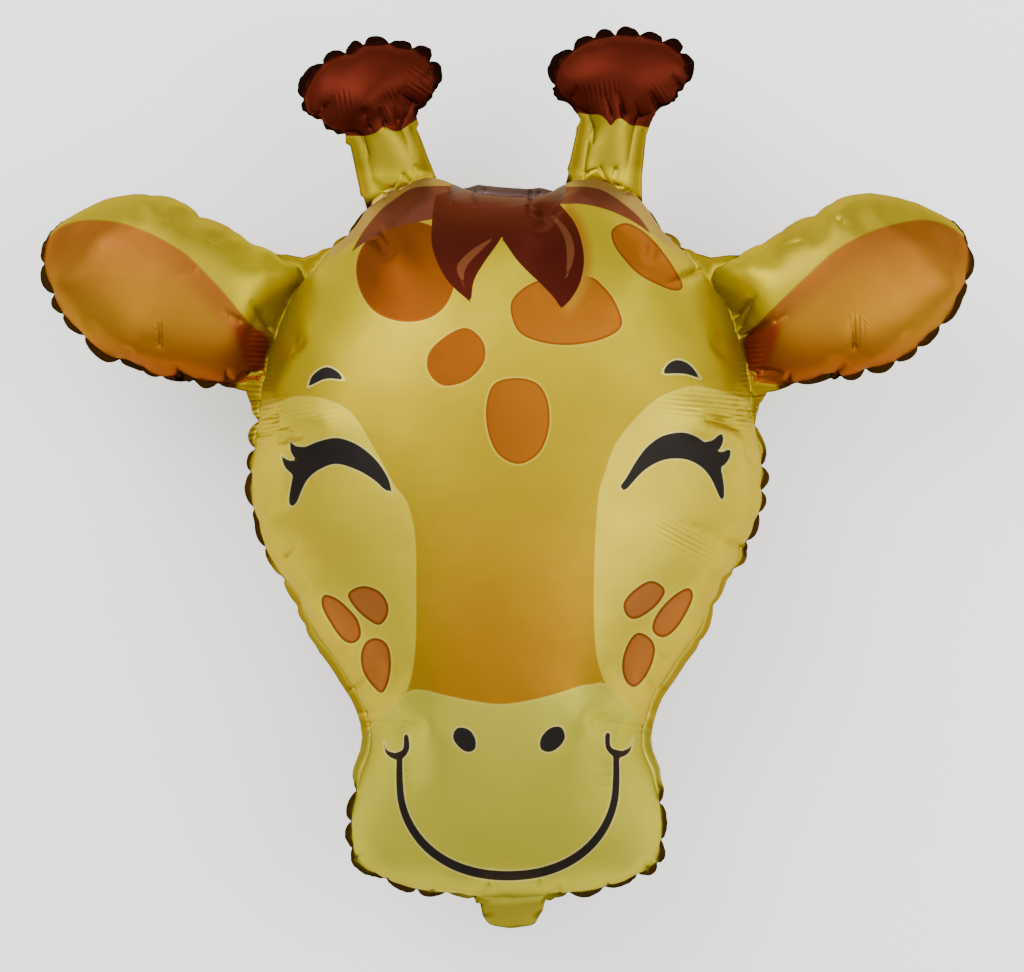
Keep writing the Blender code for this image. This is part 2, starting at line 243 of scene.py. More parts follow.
# The print, as it is seen from above: closed lines made of smooth stretches, each of which
# starts at the corner where the one before ended
LEFT_LOCK = (
    ((-0.0564, 0.2250), (-0.0596, 0.2035), (-0.0588, 0.1813), (-0.0477, 0.1574), (-0.0286, 0.1391)),
    ((-0.0262, 0.1566), (-0.0183, 0.1709), (-0.0087, 0.1844), (-0.0016, 0.1956)),
    ((0.0008, 0.2210), (-0.0056, 0.2385)),
)
RIGHT_LOCK = (
    ((-0.0072, 0.2385), (-0.0056, 0.2115), (-0.0032, 0.1900), (-0.0016, 0.1868)),
    ((0.0072, 0.1741), (0.0167, 0.1638), (0.0270, 0.1542), (0.0374, 0.1431), (0.0429, 0.1344)),
    ((0.0509, 0.1423), (0.0580, 0.1550), (0.0612, 0.1709), (0.0596, 0.1868), (0.0533, 0.2035),
     (0.0390, 0.2210)),
)
LEFT_WING = (
    ((-0.0437, 0.2321), (-0.0612, 0.2321), (-0.0763, 0.2298), (-0.0890, 0.2218), (-0.1010, 0.2123),
     (-0.1145, 0.1956), (-0.1240, 0.1789)),
    ((-0.1137, 0.1868), (-0.1010, 0.1940), (-0.0851, 0.2003), (-0.0660, 0.2043), (-0.0437, 0.2083)),
)
RIGHT_WING = (
    ((0.0167, 0.2210), (0.0326, 0.2290), (0.0469, 0.2313), (0.0644, 0.2313), (0.0771, 0.2282),
     (0.0898, 0.2202), (0.1041, 0.2083), (0.1153, 0.1932)),
    ((0.1057, 0.2003), (0.0930, 0.2075), (0.0771, 0.2139), (0.0572, 0.2178), (0.0326, 0.2170)),
)
CROWN = (
    ((-0.0437, 0.2401), (-0.0056, 0.2449), (0.0421, 0.2401)),
    ((0.0469, 0.2274), (0.0390, 0.2162), (0.0103, 0.2083), (-0.0215, 0.2067), (-0.0437, 0.2035)),
    ((-0.0453, 0.2210), (-0.0437, 0.2401)),
)
LEFT_STREAK = (
    ((-0.0087, 0.1924), (-0.0246, 0.1836), (-0.0358, 0.1741), (-0.0398, 0.1654), (-0.0334, 0.1503)),
    ((-0.0342, 0.1622), (-0.0294, 0.1717), (-0.0199, 0.1813), (-0.0087, 0.1924)),
)
RIGHT_STREAK = (
    ((0.0310, 0.2123), (0.0421, 0.2043), (0.0509, 0.1924), (0.0533, 0.1765), (0.0453, 0.1526)),
    ((0.0477, 0.1717), (0.0461, 0.1892), (0.0405, 0.2003), (0.0310, 0.2123)),
)
BEAN_SPOT_LEFT = (
    ((-0.1200, 0.1654), (-0.1153, 0.1836), (-0.1010, 0.1972), (-0.0811, 0.2043), (-0.0596, 0.2003),
     (-0.0453, 0.1860), (-0.0405, 0.1638), (-0.0461, 0.1415), (-0.0596, 0.1280), (-0.0811, 0.1240),
     (-0.1026, 0.1304), (-0.1153, 0.1455)),
)
BRIDGE_SPOT = (
    ((0.0040, 0.1415), (0.0040, 0.1272), (0.0111, 0.1145), (0.0294, 0.1073), (0.0517, 0.1057),
     (0.0739, 0.1097), (0.0882, 0.1169), (0.0914, 0.1256), (0.0851, 0.1415), (0.0755, 0.1534),
     (0.0660, 0.1598), (0.0421, 0.1606), (0.0183, 0.1542)),
)
BEAN_SPOT_RIGHT = (
    ((0.0835, 0.1972), (0.0946, 0.2027), (0.1089, 0.1956), (0.1216, 0.1829), (0.1328, 0.1670),
     (0.1399, 0.1526), (0.1336, 0.1487), (0.1200, 0.1534), (0.1041, 0.1622), (0.0914, 0.1757),
     (0.0843, 0.1868)),
)
DIAMOND_SPOT = (
    ((-0.0342, 0.1193), (-0.0238, 0.1145), (-0.0175, 0.1041), (-0.0191, 0.0906), (-0.0310, 0.0779),
     (-0.0477, 0.0731), (-0.0580, 0.0779), (-0.0636, 0.0882), (-0.0612, 0.1010), (-0.0485, 0.1129)),
)
BROW_SPOT = (
    ((-0.0103, 0.0747), (0.0080, 0.0795), (0.0246, 0.0747), (0.0326, 0.0604), (0.0334, 0.0398),
     (0.0262, 0.0207), (0.0103, 0.0111), (-0.0056, 0.0175), (-0.0143, 0.0334), (-0.0167, 0.0557)),
)
LEFT_CHEEK_1 = (
    ((-0.1455, -0.0930), (-0.1359, -0.0954), (-0.1264, -0.1033), (-0.1185, -0.1129),
     (-0.1161, -0.1248), (-0.1216, -0.1312), (-0.1304, -0.1288), (-0.1399, -0.1161),
     (-0.1471, -0.1018)),
)
LEFT_CHEEK_2 = (
    ((-0.1264, -0.0922), (-0.1153, -0.0859), (-0.1018, -0.0898), (-0.0946, -0.1002),
     (-0.0954, -0.1105), (-0.1018, -0.1169), (-0.1113, -0.1121), (-0.1208, -0.1033)),
)
LEFT_CHEEK_3 = (
    ((-0.1041, -0.1272), (-0.0954, -0.1320), (-0.0922, -0.1447), (-0.0938, -0.1606),
     (-0.0994, -0.1709), (-0.1081, -0.1638), (-0.1145, -0.1534), (-0.1161, -0.1407),
     (-0.1121, -0.1304)),
)
RIGHT_CHEEK_1 = (
    ((0.0930, -0.0986), (0.1010, -0.0890), (0.1129, -0.0819), (0.1216, -0.0843), (0.1256, -0.0906),
     (0.1193, -0.1010), (0.1081, -0.1097), (0.0994, -0.1121), (0.0938, -0.1073)),
)
RIGHT_CHEEK_2 = (
    ((0.1439, -0.0874), (0.1479, -0.0938), (0.1431, -0.1065), (0.1344, -0.1200), (0.1256, -0.1264),
     (0.1185, -0.1248), (0.1153, -0.1177), (0.1208, -0.1057), (0.1320, -0.0938)),
)
RIGHT_CHEEK_3 = (
    ((0.1033, -0.1232), (0.1129, -0.1264), (0.1177, -0.1351), (0.1153, -0.1479), (0.1089, -0.1598),
     (0.1010, -0.1662), (0.0938, -0.1606), (0.0914, -0.1479), (0.0954, -0.1328)),
)
LEFT_EYE = (
    ((-0.1725, 0.0294), (-0.1677, 0.0254), (-0.1606, 0.0246)),
    ((-0.1487, 0.0294), (-0.1344, 0.0318), (-0.1185, 0.0262), (-0.1041, 0.0143), (-0.0946, 0.0000),
     (-0.0914, -0.0119)),
    ((-0.0978, -0.0087), (-0.1057, -0.0016), (-0.1193, 0.0064), (-0.1359, 0.0111),
     (-0.1495, 0.0064), (-0.1582, -0.0008), (-0.1630, -0.0095), (-0.1670, -0.0191),
     (-0.1709, -0.0223), (-0.1733, -0.0175), (-0.1701, 0.0024)),
    ((-0.1765, 0.0087), (-0.1797, 0.0183)),
    ((-0.1741, 0.0143), (-0.1670, 0.0135)),
    ((-0.1717, 0.0207), (-0.1725, 0.0294)),
)
RIGHT_EYE = (
    ((0.0900, -0.0067), (0.0952, 0.0008), (0.1023, 0.0129), (0.1108, 0.0242), (0.1222, 0.0328),
     (0.1336, 0.0359), (0.1421, 0.0359), (0.1506, 0.0328), (0.1570, 0.0285)),
    ((0.1637, 0.0302), (0.1679, 0.0339), (0.1712, 0.0353)),
    ((0.1719, 0.0306), (0.1705, 0.0254), (0.1669, 0.0207)),
    ((0.1719, 0.0208), (0.1750, 0.0225), (0.1780, 0.0221)),
    ((0.1771, 0.0164), (0.1736, 0.0110), (0.1698, 0.0086)),
    ((0.1713, 0.0015), (0.1726, -0.0077), (0.1725, -0.0155)),
    ((0.1708, -0.0175), (0.1688, -0.0148), (0.1662, -0.0091), (0.1620, -0.0002), (0.1549, 0.0083),
     (0.1449, 0.0139), (0.1350, 0.0154), (0.1250, 0.0143), (0.1151, 0.0101), (0.1066, 0.0037),
     (0.0995, -0.0041), (0.0952, -0.0087), (0.0917, -0.0095), (0.0900, -0.0067)),
)
LEFT_BROW = (
    ((-0.1582, 0.0723), (-0.1542, 0.0819), (-0.1439, 0.0882), (-0.1344, 0.0843), (-0.1296, 0.0779)),
    ((-0.1439, 0.0787), (-0.1582, 0.0723)),
)
RIGHT_BROW = (
    ((0.1232, 0.0827), (0.1280, 0.0906), (0.1359, 0.0938), (0.1455, 0.0898), (0.1542, 0.0787)),
    ((0.1407, 0.0827), (0.1232, 0.0827)),
)
LEFT_NOSTRIL = (
    ((-0.0398, -0.1988), (-0.0310, -0.1995), (-0.0254, -0.2067), (-0.0254, -0.2154),
     (-0.0318, -0.2178), (-0.0390, -0.2131), (-0.0429, -0.2059)),
)
RIGHT_NOSTRIL = (
    ((0.0429, -0.1980), (0.0342, -0.1988), (0.0270, -0.2067), (0.0270, -0.2154), (0.0342, -0.2178),
     (0.0421, -0.2131), (0.0461, -0.2059)),
)
LEFT_CORNER = (
    ((-0.0978, -0.2091), (-0.0954, -0.2162), (-0.0890, -0.2186)),
    ((-0.0827, -0.2154), (-0.0819, -0.2051)),
    ((-0.0795, -0.2035), (-0.0779, -0.2067)),
    ((-0.0779, -0.2162), (-0.0835, -0.2234), (-0.0898, -0.2234), (-0.0962, -0.2186),
     (-0.0978, -0.2091)),
)
RIGHT_CORNER = (
    ((0.1002, -0.2067), (0.0978, -0.2139), (0.0914, -0.2170)),
    ((0.0827, -0.2139), (0.0819, -0.2035)),
    ((0.0795, -0.2019), (0.0779, -0.2051)),
    ((0.0787, -0.2147), (0.0843, -0.2210), (0.0914, -0.2218), (0.0978, -0.2170), (0.1002, -0.2067)),
)
LEFT_PALE = (
    ((-0.2186, 0.0461), (-0.1900, 0.0557), (-0.1614, 0.0636), (-0.1280, 0.0533), (-0.1065, 0.0215),
     (-0.0914, -0.0056), (-0.0803, -0.0215), (-0.0747, -0.0477), (-0.0739, -0.0843),
     (-0.0747, -0.1359), (-0.0811, -0.1685), (-0.0970, -0.1884)),
    ((-0.1100, -0.2200), (-0.1700, -0.2200), (-0.2000, -0.1288), (-0.2282, -0.0334),
     (-0.2186, 0.0461)),
)
RIGHT_PALE = (
    ((0.2186, 0.0461), (0.1813, 0.0636), (0.1534, 0.0708), (0.1375, 0.0692), (0.1153, 0.0580),
     (0.0898, 0.0294), (0.0795, 0.0040), (0.0739, -0.0191), (0.0708, -0.0843), (0.0723, -0.1359),
     (0.0795, -0.1622), (0.0867, -0.1765)),
    ((0.1057, -0.2100), (0.1600, -0.2300), (0.2100, -0.1129), (0.2329, -0.0175), (0.2186, 0.0461)),
)
MUZZLE = (
    ((-0.1328, -0.2242), (-0.0970, -0.1884), (-0.0787, -0.1717), (-0.0660, -0.1701),
     (-0.0533, -0.1733), (-0.0310, -0.1781), (-0.0056, -0.1813), (0.0191, -0.1781),
     (0.0413, -0.1725), (0.0580, -0.1670), (0.0692, -0.1654), (0.0787, -0.1662), (0.1057, -0.1924),
     (0.1455, -0.2401)),
    ((0.1455, -0.3673), (0.0024, -0.3832), (-0.1407, -0.3673), (-0.1328, -0.2242)),
)
LEFT_LINING = (
    ((-0.3951, 0.1717), (-0.3681, 0.1876), (-0.3514, 0.2003), (-0.3252, 0.2043), (-0.2942, 0.1980),
     (-0.2600, 0.1805), (-0.2369, 0.1590), (-0.2210, 0.1415), (-0.2059, 0.1232), (-0.1900, 0.1097)),
    ((-0.1948, 0.0779), (-0.1995, 0.0636)),
    ((-0.2838, 0.0302), (-0.3713, 0.0779), (-0.4031, 0.1415), (-0.3951, 0.1717)),
)
RIGHT_LINING = (
    ((0.3951, 0.1749), (0.3673, 0.1884), (0.3490, 0.2003), (0.3283, 0.2043), (0.2949, 0.1972),
     (0.2631, 0.1813), (0.2377, 0.1590), (0.2194, 0.1415), (0.2051, 0.1272), (0.1884, 0.1097)),
    ((0.1948, 0.0779), (0.2011, 0.0636)),
    ((0.2886, 0.0302), (0.3760, 0.0779), (0.4047, 0.1415), (0.3951, 0.1749)),
)
LEFT_BOBBLE = (
    ((-0.1328, 0.2719), (-0.1224, 0.2719), (-0.1121, 0.2719), (-0.1041, 0.2743), (-0.0978, 0.2790),
     (-0.0914, 0.2759), (-0.0851, 0.2759), (-0.0771, 0.2814), (-0.0692, 0.2862)),
    ((-0.0294, 0.3085), (-0.0692, 0.3641), (-0.1248, 0.3641), (-0.1805, 0.3244), (-0.1805, 0.2687),
     (-0.1328, 0.2719)),
)
RIGHT_BOBBLE = (
    ((0.0469, 0.2942), (0.0604, 0.2894), (0.0731, 0.2886), (0.0787, 0.2846), (0.0827, 0.2798),
     (0.0867, 0.2846), (0.0914, 0.2854), (0.0978, 0.2806), (0.1057, 0.2798), (0.1153, 0.2790),
     (0.1248, 0.2862)),
    ((0.1693, 0.3005), (0.1614, 0.3641), (0.0898, 0.3800), (0.0262, 0.3641), (0.0183, 0.3005),
     (0.0469, 0.2942)),
)
SMILE = (
    (-0.0854, -0.2210), (-0.0854, -0.2400), (-0.0839, -0.2567), (-0.0793, -0.2712),
    (-0.0718, -0.2841), (-0.0617, -0.2952), (-0.0491, -0.3042), (-0.0345, -0.3108),
    (-0.0181, -0.3148), (0.0007, -0.3162), (0.0195, -0.3148), (0.0359, -0.3108), (0.0505, -0.3042),
    (0.0631, -0.2952), (0.0732, -0.2841), (0.0807, -0.2712), (0.0853, -0.2567), (0.0868, -0.2400),
    (0.0868, -0.2210),
)
SMILE_THIN, SMILE_THICK = 0.0047, 0.0076

# Sharp creases in the film: where they start at the seam, where they end, how deep
CREASES = (
    ((-0.0445, 0.2321), (-0.0445, 0.2162), 0.0012, 0.0016),
    ((-0.0254, 0.2274), (-0.0254, 0.2139), 0.0010, 0.0014),
    ((0.0183, 0.2290), (0.0183, 0.2003), 0.0014, 0.0016),
    ((0.1836, 0.1177), (0.1972, 0.1463), 0.0016, 0.0020),
    ((0.2767, 0.1010), (0.2767, 0.1256), 0.0016, 0.0018),
    ((0.2600, 0.0787), (0.2695, 0.0922), 0.0018, 0.0020),
    ((0.2242, 0.0747), (0.2242, 0.0843), 0.0012, 0.0016),
    ((0.2115, 0.1240), (0.2258, 0.1320), 0.0008, 0.0016),
    ((0.1805, 0.1272), (0.1988, 0.1471), 0.0020, 0.0020),
    ((0.2719, 0.2011), (0.2496, 0.2115), 0.0006, 0.0015),
    ((0.2337, 0.1884), (0.2083, 0.1836), 0.0005, 0.0014),
    ((0.1868, 0.1121), (0.2139, 0.1272), 0.0018, 0.0020),
    ((0.2011, 0.0843), (0.2202, 0.0835), 0.0020, 0.0022),
    ((-0.1868, 0.1169), (-0.2043, 0.1415), 0.0016, 0.0020),
    ((-0.2759, 0.1033), (-0.2759, 0.1240), 0.0016, 0.0018),
    ((-0.2584, 0.0787), (-0.2647, 0.0922), 0.0018, 0.0020),
    ((-0.2218, 0.0747), (-0.2226, 0.0874), 0.0012, 0.0016),
    ((-0.2107, 0.1240), (-0.2266, 0.1336), 0.0008, 0.0016),
    ((-0.2711, 0.2027), (-0.2568, 0.2131), 0.0006, 0.0015),
    ((-0.2377, 0.1868), (-0.2234, 0.1916), 0.0005, 0.0014),
    ((-0.1948, 0.0843), (-0.2154, 0.0795), 0.0020, 0.0022),
    ((-0.2472, 0.1670), (-0.2647, 0.1606), 0.0005, 0.0015),
    ((0.1526, 0.1654), (0.1264, 0.1534), 0.0018, 0.0020),
    ((0.1868, -0.0557), (0.1367, -0.0334), 0.0012, 0.0022),
    ((0.1980, 0.0549), (0.1813, 0.0557), 0.0014, 0.0020),
    ((0.1948, 0.0588), (0.1534, 0.0572), 0.0004, 0.0014),
    ((0.1948, 0.0517), (0.1455, 0.0501), 0.0004, 0.0014),
    ((0.1980, 0.0485), (0.1574, 0.0453), 0.0003, 0.0014),
    ((-0.2011, 0.0334), (-0.1709, 0.0374), 0.0013, 0.0020),
    ((-0.1980, 0.0398), (-0.1566, 0.0461), 0.0004, 0.0014),
    ((-0.1980, 0.0477), (-0.1550, 0.0517), 0.0004, 0.0014),
    ((-0.1948, 0.0557), (-0.1582, 0.0588), 0.0004, 0.0014),
    ((-0.1995, 0.0270), (-0.1646, 0.0302), 0.0005, 0.0016),
    ((-0.1797, -0.0652), (-0.1646, -0.0493), 0.0018, 0.0020),
    ((-0.1757, -0.0620), (-0.1598, -0.0533), 0.0008, 0.0016),
    ((-0.1208, -0.1670), (-0.1073, -0.1542), 0.0014, 0.0018),
    ((-0.1328, -0.1407), (-0.1232, -0.1288), 0.0010, 0.0018),
    ((-0.1288, -0.1892), (-0.0851, -0.1813), 0.0008, 0.0020),
    ((-0.1248, -0.1685), (-0.1073, -0.1574), 0.0008, 0.0018),
    ((0.1177, -0.1685), (0.1057, -0.1511), 0.0012, 0.0018),
    ((0.1280, -0.1463), (0.1153, -0.1351), 0.0010, 0.0018),
    ((-0.0151, -0.3275), (-0.0127, -0.3100), 0.0012, 0.0016),
    ((0.0262, -0.3275), (0.0246, -0.3100), 0.0010, 0.0016),
    ((-0.1487, 0.2926), (-0.1375, 0.3005), 0.0018, 0.0020),
    ((-0.1518, 0.2862), (-0.1439, 0.2973), 0.0014, 0.0020),
    ((-0.1081, 0.2759), (-0.1137, 0.2942), 0.0018, 0.0020),
    ((-0.0962, 0.2798), (-0.1010, 0.2942), 0.0014, 0.0018),
    ((-0.0708, 0.2942), (-0.0867, 0.3069), 0.0016, 0.0018),
    ((-0.0596, 0.3244), (-0.0692, 0.3164), 0.0010, 0.0016),
    ((-0.0867, 0.2830), (-0.0898, 0.2957), 0.0010, 0.0016),
    ((0.0938, 0.2862), (0.0882, 0.3069), 0.0020, 0.0020),
    ((0.0827, 0.2862), (0.0771, 0.3069), 0.0012, 0.0016),
    ((0.1216, 0.2910), (0.1137, 0.3069), 0.0022, 0.0022),
    ((0.1439, 0.3029), (0.1312, 0.3212), 0.0022, 0.0022),
    ((0.0517, 0.3005), (0.0564, 0.3132), 0.0012, 0.0018),
    ((0.1057, 0.2846), (0.1010, 0.3005), 0.0008, 0.0016),
    ((0.1487, 0.3180), (0.1407, 0.3275), 0.0010, 0.0016),
    ((-0.1232, -0.3037), (-0.1121, -0.2957), 0.0008, 0.0016),
    ((-0.1129, -0.1948), (-0.0755, -0.1940), 0.0006, 0.0012),
    ((-0.1073, -0.1980), (-0.0811, -0.2027), 0.0005, 0.0012),
    ((-0.0811, -0.2329), (-0.0596, -0.2306), 0.0005, 0.0012),
    ((-0.0811, -0.2377), (-0.0612, -0.2377), 0.0005, 0.0012),
    ((-0.0787, -0.2441), (-0.0628, -0.2465), 0.0004, 0.0012),
    ((0.1137, -0.1980), (0.0739, -0.1940), 0.0006, 0.0012),
    ((0.1097, -0.2027), (0.0898, -0.2003), 0.0005, 0.0012),
    ((0.0835, -0.2290), (0.0644, -0.2321), 0.0005, 0.0012),
    ((0.0835, -0.2369), (0.0660, -0.2385), 0.0005, 0.0012),
    ((0.0835, -0.2449), (0.0676, -0.2449), 0.0004, 0.0012),
    ((-0.0843, -0.2345), (-0.0644, -0.2385), 0.0006, 0.0018),
    ((0.0421, -0.3299), (0.0390, -0.3196), 0.0009, 0.0016),
    ((-0.1089, 0.2186), (-0.0914, 0.2321), 0.0010, 0.0014),
    ((-0.0978, 0.2218), (-0.0859, 0.2361), 0.0010, 0.0014),
    ((-0.0827, 0.2417), (-0.0747, 0.2313), 0.0008, 0.0014),
    ((-0.0867, 0.2290), (-0.0771, 0.2337), 0.0008, 0.0012),
    ((-0.1169, 0.2735), (-0.1097, 0.2544), 0.0012, 0.0016),
    ((-0.0779, 0.2790), (-0.0700, 0.2560), 0.0012, 0.0016),
    ((0.0604, 0.2417), (0.0739, 0.2465), 0.0010, 0.0014),
    ((0.0739, 0.2472), (0.0787, 0.2369), 0.0009, 0.0012),
    ((0.0867, 0.2465), (0.0827, 0.2345), 0.0009, 0.0014),
    ((0.0970, 0.2266), (0.0843, 0.2337), 0.0010, 0.0014),
    ((0.0668, 0.2798), (0.0676, 0.2647), 0.0014, 0.0018),
    ((-0.0612, -0.3323), (-0.0564, -0.3228), 0.0009, 0.0016),
    ((-0.0978, -0.3236), (-0.0914, -0.3132), 0.0009, 0.0016),
    ((0.0819, -0.3260), (0.0771, -0.3164), 0.0009, 0.0016),
    ((0.1137, -0.3116), (0.1057, -0.3037), 0.0009, 0.0016),
)

# The ears' roots, coloured darker where they meet the head
LEFT_ROOT = (
    ((-0.2162, 0.1224), (-0.2043, 0.1193), (-0.1932, 0.1161), (-0.1860, 0.1057)),
    ((-0.1900, 0.0890), (-0.1980, 0.0795)),
    ((-0.2035, 0.0851), (-0.2107, 0.0978), (-0.2147, 0.1113), (-0.2162, 0.1224)),
)
RIGHT_ROOT = tuple(tuple((-x, y) for x, y in stretch) for stretch in LEFT_ROOT)

PRINT = {
    "pale": ((LEFT_PALE, RIGHT_PALE), "front"),
    "muzzle": ((MUZZLE,), "front"),
    "spot": ((BEAN_SPOT_LEFT, BRIDGE_SPOT, BEAN_SPOT_RIGHT, DIAMOND_SPOT, BROW_SPOT), "mirrored"),
    "cheek": ((LEFT_CHEEK_1, LEFT_CHEEK_2, LEFT_CHEEK_3,
               RIGHT_CHEEK_1, RIGHT_CHEEK_2, RIGHT_CHEEK_3), "mirrored"),
    "lining": ((LEFT_LINING, RIGHT_LINING), "front"),
    "root": ((LEFT_ROOT, RIGHT_ROOT), "front"),
    "hair": ((LEFT_LOCK, RIGHT_LOCK), "front"),
    "wing": ((LEFT_WING, RIGHT_WING), "front"),
    "crown": ((CROWN,), "front"),
    "streak": ((LEFT_STREAK, RIGHT_STREAK), "front"),
    "bobble": ((LEFT_BOBBLE, RIGHT_BOBBLE), "both"),
    "ink": ((LEFT_EYE, RIGHT_EYE, LEFT_BROW, RIGHT_BROW, LEFT_NOSTRIL, RIGHT_NOSTRIL,
             LEFT_CORNER, RIGHT_CORNER), "front"),
}

# What else the finish reads from the film: the strip along the head's rim, the lobes' painted
# shade, the flat hem, how far the film gathers, and the place across its ripples
MEASURES = ("band", "burnt", "web", "gather", "across_folds")

# The inks over the metal, and painted shade and reflection, from the first layer to the last.
# Each covers what lies under it where all its masks do: what the mask reads, where it starts to cover,
# where it covers fully
BASE_YELLOW = "#9E8606"
EDGE = 0.00035
INKS_AND_PAINTED_LIGHT = (
    ("#AE9B08", ("up", 0.02, 0.16)),
    ("#9E8A18", ("across", 0.205, 0.225), ("up", 0.05, 0.09)),
    # Painted shade: the film above the head, on the horns' stalks, darker to dim the lamp's highlight
    # on them
    ("#968414", ("up", 0.240, 0.250)),
    ("#9C6A0E", ("up", 0.045, -0.175), ("across", 0.115, 0.030)),
    ("#C1AD30", ("pale", -0.0024, -0.0010)),
    ("#C1AD24", ("pale", -EDGE, EDGE)),
    ("#BDB040", ("muzzle", -0.0022, -0.0010)),
    ("#B3AC34", ("muzzle", -EDGE, EDGE)),
    ("#A08448", ("band", 0.040, 0.036), ("up", 0.165, 0.190)),
    ("#B49C28", ("spot", -0.0020, -0.0010)),
    ("#7A4008", ("spot", -EDGE, EDGE)),
    ("#6E370A", ("spot", 0.0006, 0.0024)),
    ("#975810", ("spot", 0.0006, 0.0024), ("right", -0.10, 0.06)),
    ("#C6B440", ("cheek", -0.0024, -0.0012)),
    ("#6E370A", ("cheek", -EDGE, EDGE)),
    ("#9C5C28", ("cheek", 0.0006, 0.0030)),
    ("#8A6414", ("lining", -0.0014, -0.0006)),
    ("#8A521A", ("lining", -EDGE, EDGE)),
    ("#BD8F10", ("lining", 0.004, 0.045), ("up", 0.205, 0.115)),
    ("#8E4A0C", ("lining", -EDGE, EDGE), ("up", 0.125, 0.080)),
    # The ears' roots darker, and darkest nearest the head
    ("#8A3A22", ("root", -0.0040, 0.0040)),
    ("#50201E", ("root", 0.0050, 0.0180), ("across", 0.202, 0.192)),
    ("#A0721A", ("hair", -0.0110, -0.0010), ("right", 0.038, 0.052)),
    ("#683829", ("wing", -EDGE, EDGE)),
    ("#4A2418", ("crown", -EDGE, EDGE)),
    ("#43140D", ("hair", -EDGE, EDGE)),
    ("#522014", ("hair", -EDGE, EDGE), ("up", 0.17, 0.215)),
    # Painted reflection: the crown's top greyed, as where its rim mirrors the pale sky
    ("#726466", ("crown", -EDGE, EDGE), ("up", 0.212, 0.238)),
    ("#6A3A22", ("streak", -EDGE, EDGE)),
    ("#4E180E", ("bobble", -EDGE, EDGE)),
    ("#C6BA64", ("ink", -0.0016, -0.0009)),
    ("#242120", ("ink", -EDGE, EDGE)),
)
# What multiplies the colour: painted shade and painted dark reflection on the welded lobes, painted
# shade on the flat hem, which mirrors the sky more than the domes do, and a faint cloudiness
SEAM_SHADE = "#62504A"
# Painted shade on the flat hem, dimming the bright sky that it mirrors
HEM_SHADE = "#C6BCA4"
CLOUD_TINT = "#EDEAE2"

# Film finish: satin gloss, and waves in it by size and depth
METALLIC = 0.90
GRAZING_TINT = "#C8B48C"
ROUGH_LOW = 0.44
ROUGH_HIGH = 0.52
CLOUD_SIZE = 0.09
GRAIN_SIZE = 0.0011
GRAIN_DEPTH = 0.00002
SLACK_SIZE = 0.030
SLACK_DEPTH = 0.0006
GATHER_PITCH = 0.0040
GATHER_DEPTH = 0.00030
WOBBLE_SIZE = 0.025
WOBBLE_TURN = 2.0

# The studio: the floor's two tones, the sky all round, and two soft lamps
FLOOR_LIGHT = "#FAFAFA"
FLOOR_DARK = "#F5F5F6"
FLOOR_GLOW = 0.5
FLOOR_SIZE = 8.0
LIT_POINT = (0.0, 0.0, 0.1)
SKY = "#F6F6F6"
SKY_AT_HORIZON = 0.60
SKY_OVERHEAD = 1.65
KEY_LAMP = ((-1.4, 1.6, 2.4), 2.0, 76.0)
FILL_LAMP = ((1.8, 0.2, 2.0), 2.2, 50.0)


def smooth_line(points, closed=False, step=0.0012):
    """A smooth line through the points, cut into short steps."""
    points = np.asarray(points, float)
    if closed:
        points = np.vstack([points, points[:1]])
        padded = np.vstack([points[-2], points, points[1]])
    else:
        padded = np.vstack([2 * points[0] - points[1], points, 2 * points[-1] - points[-2]])
    share = np.linspace(0.0, 1.0, 9)[:-1, None]
    stretches = []
    for before, start, end, after in zip(padded, padded[1:], padded[2:], padded[3:]):
        stretches.append(0.5 * (
            2 * start + (end - before) * share
            + (2 * before - 5 * start + 4 * end - after) * share ** 2
            + (3 * start - before - 3 * end + after) * share ** 3))
    line = np.vstack([*stretches, points[-1:]])
    travelled = np.concatenate([[0.0], np.cumsum(np.hypot(*np.diff(line, axis=0).T))])
    stops = np.linspace(0.0, travelled[-1], max(3, round(travelled[-1] / step)))
    return np.column_stack([np.interp(stops, travelled, line[:, axis]) for axis in (0, 1)])


def closed_shape(stretches):
    """One closed outline: a single round, or smooth stretches that meet at corners."""
    if len(stretches) == 1:
        return smooth_line(stretches[0], closed=True)
    ends = [(), *(stretch[-1:] for stretch in stretches)]
    sides = [smooth_line((*corner, *stretch)) for corner, stretch in zip(ends, stretches)]
    return np.vstack([*(side[:-1] for side in sides), sides[0][:1]])


def distance_to_line(points, line, reach=FAR):
    """Distance from each point to a line of short segments, and the share along it."""
    found = np.full(len(points), reach)
    along = np.zeros(len(points))
    low, high = line.min(axis=0) - reach, line.max(axis=0) + reach
    near = np.nonzero(((points > low) & (points < high)).all(axis=1))[0]
    starts, runs = line[:-1], np.diff(line, axis=0)
    length = np.maximum((runs ** 2).sum(axis=1), 1e-12)
    for part in np.array_split(near, max(1, len(near) * len(starts) // 4000000)):
        offset = points[part][:, None] - starts[None]
        share = np.clip((offset * runs).sum(axis=2) / length, 0.0, 1.0)
        gap = np.hypot(*(offset - share[..., None] * runs).transpose(2, 0, 1))
        best = gap.argmin(axis=1)
        rows = np.arange(len(part))
        found[part] = np.minimum(gap[rows, best], reach)
        along[part] = (best + share[rows, best]) / len(starts)
    return found, along


